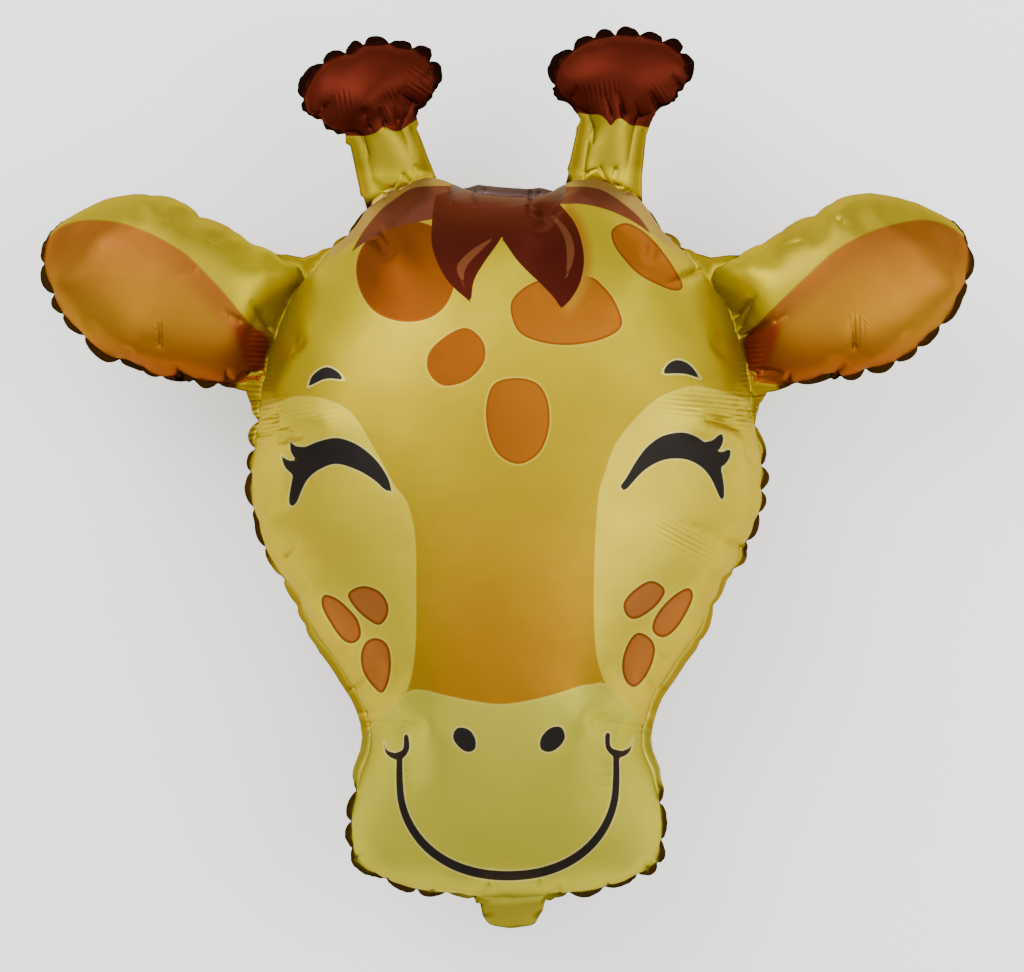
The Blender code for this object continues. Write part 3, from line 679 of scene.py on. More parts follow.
def depth_inside(points, ring):
    """How deep each point lies inside a closed outline, below zero outside it."""
    gap, _ = distance_to_line(points, ring)
    inside = np.zeros(len(points), bool)
    boxed = ((points > ring.min(axis=0)) & (points < ring.max(axis=0))).all(axis=1)
    near = np.nonzero(boxed)[0]
    for (x0, y0), (x1, y1) in zip(ring[:-1], ring[1:]):
        crossed = (points[near, 1] < y0) != (points[near, 1] < y1)
        if crossed.any():
            rows = near[crossed]
            at = x0 + (points[rows, 1] - y0) * (x1 - x0) / (y1 - y0)
            inside[rows] ^= points[rows, 0] < at
    return np.where(inside, gap, -gap)


def as_seen(points):
    """Where points show in the plane of the weld, seen by the camera above."""
    centre = np.array(CAMERA_CENTRE)
    nearer = CAMERA_HEIGHT / (CAMERA_HEIGHT - (points[:, 2:3] - TALLEST / 2))
    return centre + (points[:, :2] - centre) * nearer


def near_lines(points, lines, reach):
    """Which vertices show within reach of one of the lines."""
    seen = as_seen(points)
    close = np.zeros(len(points), bool)
    for line in lines:
        close |= distance_to_line(seen, line)[0] < reach
    return close


def at_work_on(piece):
    """Only this piece is selected and active."""
    bpy.ops.object.select_all(action="DESELECT")
    piece.select_set(True)
    bpy.context.view_layer.objects.active = piece


def edited(piece, kind, chosen, *steps):
    """The chosen vertices or faces are selected, and the edit-mode steps run on them."""
    at_work_on(piece)
    for part in (piece.data.vertices, piece.data.edges, piece.data.polygons):
        part.foreach_set("select", np.zeros(len(part), bool))
    group = piece.data.polygons if kind == "FACE" else piece.data.vertices
    group.foreach_set("select", np.asarray(chosen, bool))
    bpy.context.tool_settings.mesh_select_mode = (kind == "VERT", False, kind == "FACE")
    bpy.ops.object.mode_set(mode="EDIT")
    for step, settings in steps:
        step(**settings)
    bpy.ops.object.mode_set(mode="OBJECT")


def places(mesh):
    """The vertices of a mesh, one row each."""
    found = np.empty(len(mesh.vertices) * 3)
    mesh.vertices.foreach_get("co", found)
    return found.reshape(-1, 3)


def triangles(mesh):
    """The faces of a mesh of triangles, one row each."""
    found = np.empty(len(mesh.polygons) * 3, int)
    mesh.polygons.foreach_get("vertices", found)
    return found.reshape(-1, 3)


def edges_of(faces):
    """Every edge once, its lower vertex first."""
    pairs = np.concatenate([faces[:, [0, 1]], faces[:, [1, 2]], faces[:, [2, 0]]])
    return np.unique(np.sort(pairs, axis=1), axis=0)


def borders(faces):
    """The closed loops of vertices along the edges that only one of the faces has."""
    turns = np.concatenate([faces[:, [0, 1]], faces[:, [1, 2]], faces[:, [2, 0]]]).tolist()
    both = {(b, a) for a, b in turns}
    ahead = {a: b for a, b in turns if (a, b) not in both}
    loops = []
    while ahead:
        loop = [min(ahead)]
        while loop[-1] in ahead:
            loop.append(ahead.pop(loop[-1]))
        loops.append(np.array(loop[:-1]))
    return loops


def two_sheets():
    """The CAD solid's skin as two sheets that share one layer along their seam."""
    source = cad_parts[NODE]
    piece = bpy.data.objects.new("printed_foil_balloon", source.data.copy())
    bpy.context.scene.collection.objects.link(piece)
    piece.data.materials.clear()
    merge = (bpy.ops.mesh.remove_doubles, {"threshold": SAME_PLACE})
    edited(piece, "VERT", np.ones(len(piece.data.vertices)), merge)
    corners = places(piece.data)[:, 2][triangles(piece.data)]
    slope = np.array([face.normal.z for face in piece.data.polygons])
    rim = (abs(slope) < UPRIGHT) & (np.ptp(corners, axis=1) < SEAM_EDGE)
    low, high = corners[rim].min(), corners[rim].max()
    under = (abs(corners - low) < SAME_PLACE).all(axis=1)
    edited(piece, "FACE", rim | under, (bpy.ops.mesh.delete, {"type": "ONLY_FACE"}))
    points = places(piece.data)
    weld, half = (low + high) / 2, (high - low) / 2
    seam = (abs(points[:, 2] - low) < SAME_PLACE) | (abs(points[:, 2] - high) < SAME_PLACE)
    points[:, 2] -= np.where(points[:, 2] > weld, half, -half)
    points[seam, 2] = weld
    piece.data.vertices.foreach_set("co", points.ravel())
    edited(piece, "VERT", seam, merge)
    edited(piece, "VERT", np.ones(len(piece.data.vertices)), (bpy.ops.mesh.delete_loose, {}))
    edited(piece, "VERT", np.ones(len(piece.data.vertices)),
           (bpy.ops.mesh.subdivide, {"number_cuts": 1}),
           (bpy.ops.mesh.quads_convert_to_tris, {}))
    return piece, weld


def chambers_of(points, faces, weld):
    """A number for each vertex: which side of which chamber it is on, or -1 on the weld plane."""
    free = abs(points[:, 2] - weld) > SAME_PLACE
    joined = edges_of(faces)
    joined = joined[free[joined].all(axis=1)]
    label = np.where(free, np.arange(len(points)), -1)
    while True:
        lower = label[joined].min(axis=1)
        before = label.copy()
        np.minimum.at(label, joined[:, 0], lower)
        np.minimum.at(label, joined[:, 1], lower)
        label[free] = label[label[free]]
        if (label == before).all():
            break
    names, sizes = np.unique(label[free], return_counts=True)
    names = names[np.argsort(-sizes)]
    number = np.full(len(points), -1)
    for index, name in enumerate(names):
        number[label == name] = index
    return number


def pull_of(points, faces, weld):
    """Slope of the pressed film over the faces, one row for each vertex that they touch."""
    flat = points[:, :2]
    push = ((points[:, 2] - weld) / FULLNESS) ** 2
    a, b, c = (flat[faces[:, corner]] for corner in range(3))
    pa, pb, pc = (push[faces[:, corner]] for corner in range(3))
    twice = (b[:, 0] - a[:, 0]) * (c[:, 1] - a[:, 1]) - (b[:, 1] - a[:, 1]) * (c[:, 0] - a[:, 0])
    along = pa * (b[:, 1] - c[:, 1]) + pb * (c[:, 1] - a[:, 1]) + pc * (a[:, 1] - b[:, 1])
    across = pa * (c[:, 0] - b[:, 0]) + pb * (a[:, 0] - c[:, 0]) + pc * (b[:, 0] - a[:, 0])
    signed = np.column_stack([along, across]) * np.sign(twice)[:, None]
    total, weight = np.zeros((len(points), 2)), np.zeros(len(points))
    for corner in range(3):
        np.add.at(total, faces[:, corner], signed)
        np.add.at(weight, faces[:, corner], abs(twice))
    return total / np.maximum(weight, 1e-12)[:, None], weight > 0


def evened(values, edges, rounds, held=None):
    """Values evened out between the neighbours that the edges join, except where they are held."""
    count = np.bincount(edges.ravel(), minlength=len(values))
    still = count == 0 if held is None else (count == 0) | held
    for _ in range(rounds):
        total = np.column_stack([
            np.bincount(edges[:, 0], values[edges[:, 1], axis], len(values))
            + np.bincount(edges[:, 1], values[edges[:, 0], axis], len(values))
            for axis in range(values.shape[1])])
        mean = total / np.maximum(count, 1)[:, None]
        values = np.where(still[:, None], values, OWN_SHARE * values + MEAN_SHARE * mean)
    return values


def carried(points, known, values, sharpness):
    """Values at every point from those at the known points, by their nearness."""
    found = np.empty((len(points), values.shape[1]))
    for part in np.array_split(np.arange(len(points)), max(1, len(points) // 500)):
        gap = ((points[part][:, None] - points[known][None]) ** 2).sum(axis=2)
        weight = 1.0 / (gap + 1e-7) ** (sharpness / 2)
        found[part] = weight @ values / weight.sum(axis=1)[:, None]
    return found


def cut_pattern(points, faces, chamber, weld):
    """Each vertex where it lay before the balloon was blown up, and the weld's vertices."""
    face_chamber = chamber[faces].max(axis=1)
    edges = edges_of(faces)
    grown = np.zeros((len(points), 2))
    known = np.zeros(len(points), bool)
    for number, kind in zip(range(chamber.max() + 1), CHAMBER_KINDS):
        slope, touched = pull_of(points, faces[face_chamber == number], weld)
        inside = edges[touched[edges].all(axis=1)]
        own = evened(-TAKEN_IN * slope, inside, EVENING_ROUNDS[kind])
        shared = touched & known & (chamber == -1)
        if shared.any():
            own += (grown[shared] - own[shared]).mean(axis=0)
        fresh = touched & ~known
        grown[fresh] = own[fresh]
        known |= touched
    on_weld = known & (chamber == -1)
    welds = np.nonzero(on_weld)[0]
    grown[~known] = carried(points[:, :2], welds, grown[welds], HEM_CARRY)[~known]
    grown = evened(grown, edges, PATTERN_EVENING) + SPARE_FILM * points[:, :2]
    return np.column_stack([points[:, :2] + grown, np.full(len(points), weld)]), on_weld


def blown_up(piece, pattern, chamber, on_weld, weld):
    """The flat film inflated as cloth: where each vertex ends."""
    start = pattern.copy()
    start[:, 2] += FILM_GAP * np.sign(places(piece.data)[:, 2] - weld) * (chamber >= 0)
    centre = np.array([0.0, 0.0, weld])
    model = piece.copy()
    model.data = piece.data.copy()
    bpy.context.scene.collection.objects.link(model)
    model.data.vertices.foreach_set("co", ((start - centre) * CLOTH_SCALE).ravel())
    at_work_on(model)
    bpy.ops.object.shape_key_add(from_mix=False)
    bpy.ops.object.shape_key_add(from_mix=False)
    cut = model.data.shape_keys.key_blocks[1]
    cut.data.foreach_set("co", ((pattern - centre) * CLOTH_SCALE).ravel())
    air = model.vertex_groups.new(name="air")
    air.add([int(index) for index in np.nonzero(chamber >= 0)[0]], 1.0, "REPLACE")
    air.add([int(index) for index in np.nonzero(on_weld)[0]], AIR_AT_WELD, "REPLACE")
    bpy.ops.object.modifier_add(type="CLOTH")
    cloth = model.modifiers[-1]
    for name, value in FILM.items():
        setattr(cloth.settings, name, value)
    cloth.settings.rest_shape_key = cut
    cloth.settings.vertex_group_pressure = air.name
    cloth.settings.effector_weights.gravity = 0.0
    cloth.collision_settings.use_collision = False
    cloth.collision_settings.use_self_collision = False
    cloth.point_cache.frame_start, cloth.point_cache.frame_end = 1, CLOTH_FRAMES + 1
    for step in range(1, CLOTH_FRAMES + 1):
        bpy.context.scene.frame_set(step)
    settled = model.evaluated_get(bpy.context.evaluated_depsgraph_get())
    shaped = bpy.data.meshes.new_from_object(settled)
    found = places(shaped) / CLOTH_SCALE + centre
    bpy.data.objects.remove(model)
    bpy.context.scene.frame_set(1)
    return found


def fitted(points, plan, faces, chamber, on_weld, weld):
    """The blown-up film with its welds where the CAD's run, its hem flat and its height true."""
    edges = edges_of(faces)
    along = edges[on_weld[edges].all(axis=1)]
    welds = np.nonzero(on_weld)[0]
    shift = np.where(on_weld[:, None], points - plan, 0.0)
    ripple = (shift - evened(shift, along, WELD_EVENING)) * RIPPLE_KEPT
    points = points + carried(points[:, :2], welds, (ripple - shift)[welds], FILM_CARRY)
    hem = (chamber < 0) & ~on_weld
    points[on_weld] = (plan + ripple)[on_weld]
    points[hem] = (plan + carried(plan[:, :2], welds, ripple[welds], HEM_CARRY))[hem]
    for side, height in ((1.0, TALLEST - weld), (-1.0, weld + FLAT_SPOT_DEPTH)):
        own = (chamber >= 0) & (side * (plan[:, 2] - weld) > 0.0)
        rise = points[own, 2] - weld
        points[own, 2] = weld + rise * height / (side * rise).max()
    return points


def in_spots(points, spots):
    """How much each point lies in one of the round spots, from 0 outside to 1 in its middle."""
    spread = [1.0 - np.hypot(*(points[:, :2] - centre).T) / size for centre, size in spots]
    return np.clip(2 * np.max(spread, axis=0), 0.0, 1.0)


def calmed(points, plan, faces, chamber, on_weld, reach):
    """The blown-up film with fewer wrinkles beside its welds, and all of them further in."""
    edges = edges_of(faces)
    part = (chamber >= 0) | on_weld
    edges = edges[part[edges].all(axis=1)]
    base = evened(plan, edges, FACET_ROUNDS, held=on_weld)
    drift = points - base
    smooth = evened(drift, edges, CALM_ROUNDS, held=on_weld)
    share = np.clip(reach / CALM_REACH, 0.0, 1.0)[:, None] ** 2
    kept = share + (1.0 - share) * np.array(WRINKLES_KEPT)
    eased = smooth + kept * (drift - smooth)
    smoother = evened(smooth, edges, SPOT_ROUNDS, held=on_weld)
    spot = in_spots(plan, CALM_SPOTS)[:, None]
    return np.where((chamber >= 0)[:, None], base + eased + spot * (smoother - eased), points)


def loops_of(plan, faces, chamber):
    """Each chamber's rim as vertices in anticlockwise order, and how many rims meet at a vertex."""
    face_chamber = chamber[faces].max(axis=1)
    met = np.zeros(len(plan), int)
    loops = []
    for number in range(chamber.max() + 1):
        loop = max(borders(faces[face_chamber == number]), key=len)
        met[loop] += 1
        (x, y), (far_x, far_y) = plan[loop, :2].T, plan[np.roll(loop, -1), :2].T
        loops.append(loop if (x * far_y - far_x * y).sum() > 0 else np.roll(loop[::-1], 1))
    return loops, met


def beside_tab(points):
    """Which points of the chin's hem lie beside the filling tab."""
    return (points[:, 1] < TAB_TOP) & (abs(points[:, 0] - TAB_MIDDLE) > TAB_HALF_WIDTH)


def rims_of(plan, pattern, faces, chamber, on_weld):
    """What each vertex knows of its chamber's rim: the way out, its place along, how far in it is."""
    names = ("loop", "run", "reach", "convex", "root", "hem", "phase")
    rim = {name: np.zeros(len(plan)) for name in names}
    out = np.zeros((len(plan), 2))
    cut_edge = np.concatenate(borders(faces))
    loops, met = loops_of(plan, faces, chamber)
    known = np.zeros(len(plan), bool)
    for number, loop in enumerate(loops):
        ring = plan[loop, :2]
        steps = np.hypot(*(np.roll(ring, -1, axis=0) - ring).T)
        travelled = np.concatenate([[0.0], np.cumsum(steps)])
        gap = abs(travelled[:-1, None] - travelled[None, :-1])
        near = np.exp(-(np.minimum(gap, travelled[-1] - gap) / RIM_EVENING) ** 2)
        near /= near.sum(axis=1)[:, None]
        soft = near @ ring
        tangent = np.roll(soft, -1, axis=0) - np.roll(soft, 1, axis=0)
        outward = np.column_stack([tangent[:, 1], -tangent[:, 0]])
        outward /= np.linalg.norm(outward, axis=1)[:, None]
        sag = near @ ((ring - soft) * outward).sum(axis=1)
        width = np.hypot(*(ring[:, None] - plan[None, cut_edge, :2]).transpose(2, 0, 1)).min(axis=1)
        own = {
            "loop": np.full(len(loop), number),
            "convex": np.clip(sag / FULL_SAG, 0.0, 1.0),
            "root": (met[loop] > 2).astype(float),
            "hem": ((width < HEM_WIDTH) | beside_tab(ring)).astype(float),
        }
        rows = np.nonzero(chamber == number)[0]
        cut = pattern[np.append(loop, loop[0]), :2]
        rim["reach"][rows], along = distance_to_line(pattern[rows, :2], cut, reach=1.0)
        fresh = ~known[loop]
        for some, at in ((rows, along * len(loop)), (loop[fresh], np.nonzero(fresh)[0])):
            whole = np.round(at).astype(int) % len(loop)
            out[some] = outward[whole]
            rim["run"][some] = np.interp(at, np.arange(len(travelled)), travelled)
            for name, values in own.items():
                rim[name][some] = values[whole]
        known[loop] = True
    tell_hem(rim, out, plan, chamber, on_weld)
    for number, kind in enumerate(CHAMBER_KINDS):
        own = rim["loop"] == number
        run = rim["run"][own]
        wander = sum(share * np.sin(turns * run + start) for share, turns, start in LOBE_WANDER)
        rim["phase"][own] = run / LOBE_PITCH[kind] + wander
    return rim, out


def tell_hem(rim, out, plan, chamber, on_weld):
    """The hem's vertices learn what their nearest weld knows, and how far out they are."""
    hem = np.nonzero((chamber < 0) & ~on_weld)[0]
    welds = np.nonzero(on_weld)[0]
    between = np.hypot(*(plan[hem, None, :2] - plan[None, welds, :2]).transpose(2, 0, 1))
    feet = welds[between.argmin(axis=1)]
    out[hem] = out[feet]
    for name in rim:
        rim[name][hem] = rim[name][feet]
    offset = plan[hem, :2] - plan[feet, :2]
    rim["hem"][hem] *= (between.min(axis=1) < HEM_WIDTH) | beside_tab(plan[hem])
    rim["run"][hem] += offset[:, 1] * out[hem, 0] - offset[:, 0] * out[hem, 1]
    rim["reach"][hem] = -(offset * out[hem]).sum(axis=1)


def lobe_height(phase):
    """How far the cut edge's lobes stand up at places along the rim, from 0 at a notch to 1."""
    wave = np.clip((1.0 + LOBE_GAP) * abs(np.sin(math.pi * phase)) - LOBE_GAP, 0.0, 1.0)
    size = 1.0 - LOBE_UNEVEN + LOBE_UNEVEN * np.sin(LOBE_BEAT * phase + LOBE_START)
    return wave ** LOBE_FULL * size


def leant_over(kind, out_y):
    """How far a dome hides its hem where the way out points so far up, from 0 to 1."""
    _, way, start, full = LEAN[kind]
    return np.clip((way * out_y - start) / (full - start), 0.0, 1.0)


def smooth_tab(plan, faces):
    """The cut edge round the filling tab without lobes."""
    cut = np.concatenate(borders(faces))
    chain = np.column_stack([cut, np.roll(cut, -1)])
    tab = (plan[:, 1] < TAB_TOP) & (abs(plan[:, 0] - TAB_MIDDLE) < TAB_HALF_WIDTH + TAB_MARGIN)
    chain = chain[tab[chain].all(axis=1)]
    ends = np.bincount(chain.ravel(), minlength=len(plan)) == 1
    return evened(plan, chain, TAB_EVENING, held=ends)


def hem_fields(plan, faces, chamber, on_weld, rim, out):
    """What the lobes along the cut edge are made from, for each vertex outside the domes."""
    wide = np.where(chamber < 0, np.maximum(-rim["reach"], 0.0), 0.0)
    place = rim["run"] + RIM_APART * rim["loop"]
    cut = np.concatenate(borders(faces))
    cut = cut[(rim["hem"][cut] > 0.5) & ~on_weld[cut]]
    cut = cut[np.argsort(place[cut])]
    crest, lean = np.zeros(len(plan)), np.zeros(len(plan))
    for number, kind in enumerate(CHAMBER_KINDS):
        own = (rim["loop"] == number) & (chamber < 0)
        crest[own] = LOBE_CREST[kind]
        lean[own] = leant_over(kind, out[own, 1])
    tab = (plan[:, 1] < TAB_TOP) & (abs(plan[:, 0] - TAB_MIDDLE) < TAB_HALF_WIDTH)
    share = np.clip(LOBE_ONSET * rim["convex"], 0.0, 1.0) * (1.0 - rim["root"]) * rim["hem"] * ~tab
    share *= 1.0 - in_spots(plan, PLAIN_HEM)
    return {
        "wide": wide, "full": np.interp(place, place[cut], wide[cut]),
        "crest": crest * (1.0 - LOBE_HIDDEN * lean), "phase": rim["phase"],
        "lobed": share * (chamber < 0), "out_x": out[:, 0], "out_y": out[:, 1],
    }


def lobed_hem(points, fields):
    """The film outside the weld with round uneven lobes along its cut edge."""
    goal = LOBE_NOTCH + (fields["crest"] - LOBE_NOTCH) * lobe_height(fields["phase"])
    more = fields["lobed"] * (goal / np.maximum(fields["full"], 0.001) - 1.0) * fields["wide"]
    points = points.copy()
    points[:, 0] += more * fields["out_x"]
    points[:, 1] += more * fields["out_y"]
    return points


def hung_over(points, faces, chamber, rim, out, weld):
    """The domes stand out over their seam, the head's most beside the ears, and pucker at it."""
    rise = abs(points[:, 2] - weld)
    stand = np.zeros((len(points), 2))
    profile = np.zeros(len(points))
    dent = np.zeros(len(points))
    for number, kind in zip(range(chamber.max() + 1), CHAMBER_KINDS):
        own = chamber == number
        share = rise[own] / min(OVERHANG_HEIGHT, OVERHANG_SHARE * rise[own].max())
        far = OVERHANG[kind] + LEAN[kind][0] * leant_over(kind, out[own, 1])
        far = np.where(rim["root"][own] > 0.5, OVERHANG_AT_ROOT[kind], far * rim["convex"][own])
        stand[own] = out[own] * far[:, None]
        profile[own] = share * np.exp(1.0 - share - (rim["reach"][own] / OVERHANG_REACH) ** 2)
        dent[own] = PUCKER_DEPTH[kind] * (1.0 - lobe_height(rim["phase"][own])) * rim["convex"][own]
        dent[own] *= np.minimum(share, 1.0) * np.exp(-(rim["reach"][own] / PUCKER_REACH) ** 2)
    edges = edges_of(faces)
    stand = evened(stand, edges[(chamber[edges] >= 0).all(axis=1)], STAND_EVENING)
    moved = evened(stand * profile[:, None] - out * dent[:, None], edges, 1)
    points = points.copy()
    points[:, :2] += np.where((chamber >= 0)[:, None], moved, 0.0)
    return points


def pinched(points, fields, weld):
    """The rim pulled in at each nick, with a valley that runs from it into the dome."""
    plan = points[:, :2].copy()
    points = points.copy()
    flat = np.nonzero(abs(fields["side"]) < 0.01)[0]
    for place, deep, wide in PINCHES:
        offset = plan - np.array(place)
        foot = flat[np.hypot(*offset[flat].T).argmin()]
        way = np.array([fields["out_x"][foot], fields["out_y"][foot]])
        across = offset @ np.array([-way[1], way[0]])
        fade = np.exp(-abs(across) / wide - (offset @ way / PINCH_REACH) ** 2)
        points[:, :2] -= deep * fade[:, None] * way
        points[:, 2] -= PINCH_SINK * deep * fade * fields["side"]
    return points


def normals_of(points, faces):
    """Unit normal at each vertex, from the faces round it."""
    a, b, c = (points[faces[:, corner]] for corner in range(3))
    cross = np.cross(b - a, c - a)
    total = np.zeros_like(points)
    for corner in range(3):
        for axis in range(3):
            total[:, axis] += np.bincount(faces[:, corner], cross[:, axis], len(points))
    return total / np.maximum(np.linalg.norm(total, axis=1), 1e-12)[:, None]


def finer(points, faces, layer, fields, chosen):
    """Edges between chosen vertices are halved. New points keep the curve, fields their values."""
    edges = edges_of(faces)
    split = chosen[edges].all(axis=1)
    key = edges[:, 0] * len(points) + edges[:, 1]
    middle = np.full(len(edges), -1)
    middle[split] = len(points) + np.arange(split.sum())
    a, b = edges[split].T
    normal = normals_of(points, faces)
    curved = (fields["dome"] > 0.99)[:, None]
    run = points[b] - points[a]
    bow = np.where(curved[a], (run * normal[a]).sum(axis=1)[:, None] * normal[a], 0.0)
    bow -= np.where(curved[b], (run * normal[b]).sum(axis=1)[:, None] * normal[b], 0.0)
    fresh = (points[a] + points[b]) / 2 - bow / 8
    fields = {name: np.concatenate([value, (value[a] + value[b]) / 2])
              for name, value in fields.items()}
    pairs = np.sort(np.stack([faces, np.roll(faces, -1, axis=1)], axis=2), axis=2)
    cut = middle[np.searchsorted(key, pairs[..., 0] * len(points) + pairs[..., 1])]
    count = (cut >= 0).sum(axis=1)
    made, sheet = [faces[count == 0]], [layer[count == 0]]
    whole, mid = faces[count == 3], cut[count == 3]
    made += [np.column_stack([whole[:, i], mid[:, i], mid[:, (i + 2) % 3]]) for i in range(3)] + [mid]
    sheet += [layer[count == 3]] * 4
    for turn in range(3):
        order = [turn, (turn + 1) % 3, (turn + 2) % 3]
        one = (count == 1) & (cut[:, turn] >= 0)
        p, q, r = faces[one][:, order].T
        m = cut[one, turn]
        made += [np.column_stack([p, m, r]), np.column_stack([m, q, r])]
        two = (count == 2) & (cut[:, (turn + 2) % 3] < 0)
        p, q, r = faces[two][:, order].T
        m, n = cut[two, turn], cut[two, (turn + 1) % 3]
        made += [np.column_stack([m, q, n]), np.column_stack([p, m, n]), np.column_stack([p, n, r])]
        sheet += [layer[one]] * 2 + [layer[two]] * 3
    return np.vstack([points, fresh]), np.vstack(made), np.concatenate(sheet), fields


def creased(points, faces, side, lines, weld):
    """Sharp folds pressed into the film along the lines, on one side of the balloon."""
    normal = normals_of(points, faces)
    seen = as_seen(points)
    depth = np.zeros(len(points))
    facing = np.clip(0.5 + side * (points[:, 2] - weld) / FOLD_FACING, 0.0, 1.0)
    for start, end, deep, wide in lines:
        gap, along = distance_to_line(seen, smooth_line((start, end)))
        fold = np.exp(-(gap / wide) ** FOLD_FLANK)
        fade = np.clip(FOLD_FADE * (1.0 - along), 0.0, 1.0) ** FOLD_TAPER
        fade *= np.clip(FOLD_RISE * along + FOLD_AT_SEAM, 0.0, 1.0)
        depth = np.maximum(depth, FOLD_GAIN * deep * fold * fade * facing)
    return points - normal * depth[:, None]


def closed_shell(points, faces, layer, fields):
    """The shared layer doubled into two thin ones with a rim between them, and all faces outward."""
    flat, back = faces[layer == 0], faces[layer < 0]
    doubled = np.union1d(flat, np.intersect1d(faces[layer > 0], back))
    twin = np.arange(len(points))
    twin[doubled] = len(points) + np.arange(len(doubled))
    rim = []
    for loop in borders(faces):
        ahead = np.roll(loop, -1)
        rim += [np.column_stack([ahead, loop, twin[loop]])]
        rim += [np.column_stack([ahead, twin[loop], twin[ahead]])]
    lower = points[doubled] - (0.0, 0.0, SHEET_GAP)
    points = points.copy()
    points[doubled, 2] += SHEET_GAP
    fields = {name: np.concatenate([value, value[doubled]]) for name, value in fields.items()}
    fields["side"][len(points):] = -1.0
    faces = np.vstack([faces[layer > 0], flat, twin[back], twin[flat[:, ::-1]], *rim])
    return np.vstack([points, lower]), faces, fields


def print_fields(points, side):
    """How deep each vertex lies inside each printed shape, seen from above or from below."""
    seen = as_seen(points)
    front = side > -0.5
    fields = {}
    for name, (shapes, sides) in PRINT.items():
        depth, behind = np.full(len(points), -FAR), np.full(len(points), -FAR)
        for shape in shapes:
            ring = closed_shape(shape)
            depth = np.maximum(depth, depth_inside(seen, ring))
            if sides == "mirrored":
                behind = np.maximum(behind, depth_inside(seen * (-1.0, 1.0), ring))
        fields[name] = depth if sides == "both" else np.where(front, depth, behind)
    gap, along = distance_to_line(seen, smooth_line(SMILE))
    half = (SMILE_THIN + (SMILE_THICK - SMILE_THIN) * np.sin(math.pi * along)) / 2
    fields["ink"] = np.maximum(fields["ink"], np.where(front, half - gap, -FAR))
    fields["gather"], fields["across_folds"] = np.zeros(len(points)), np.zeros(len(points))
    for place, angle, long, wide in GATHERS:
        x, y = (seen - place).T
        turn = math.radians(angle)
        along = x * math.cos(turn) + y * math.sin(turn)
        across = y * math.cos(turn) - x * math.sin(turn)
        spread = 1.0 - np.hypot(along / long, across / wide)
        own = front & (spread > fields["gather"])
        fields["gather"][own], fields["across_folds"][own] = spread[own], across[own]
    return fields


def linear(code):
    """An sRGB hex colour as linear RGBA."""
    parts = [int(code[i:i + 2], 16) / 255 for i in (1, 3, 5)]
    return (*[c / 12.92 if c <= 0.04045 else ((c + 0.055) / 1.055) ** 2.4 for c in parts], 1.0)


def node(tree, kind, inputs=None, **settings):
    """A shader node with its settings, its numbers and its links."""
    made = tree.nodes.new(kind)
    for name, value in settings.items():
        setattr(made, name, value)
    for slot, value in (inputs or {}).items():
        if isinstance(value, bpy.types.NodeSocket):
            tree.links.new(value, made.inputs[slot])
        else:
            made.inputs[slot].default_value = value
    return made


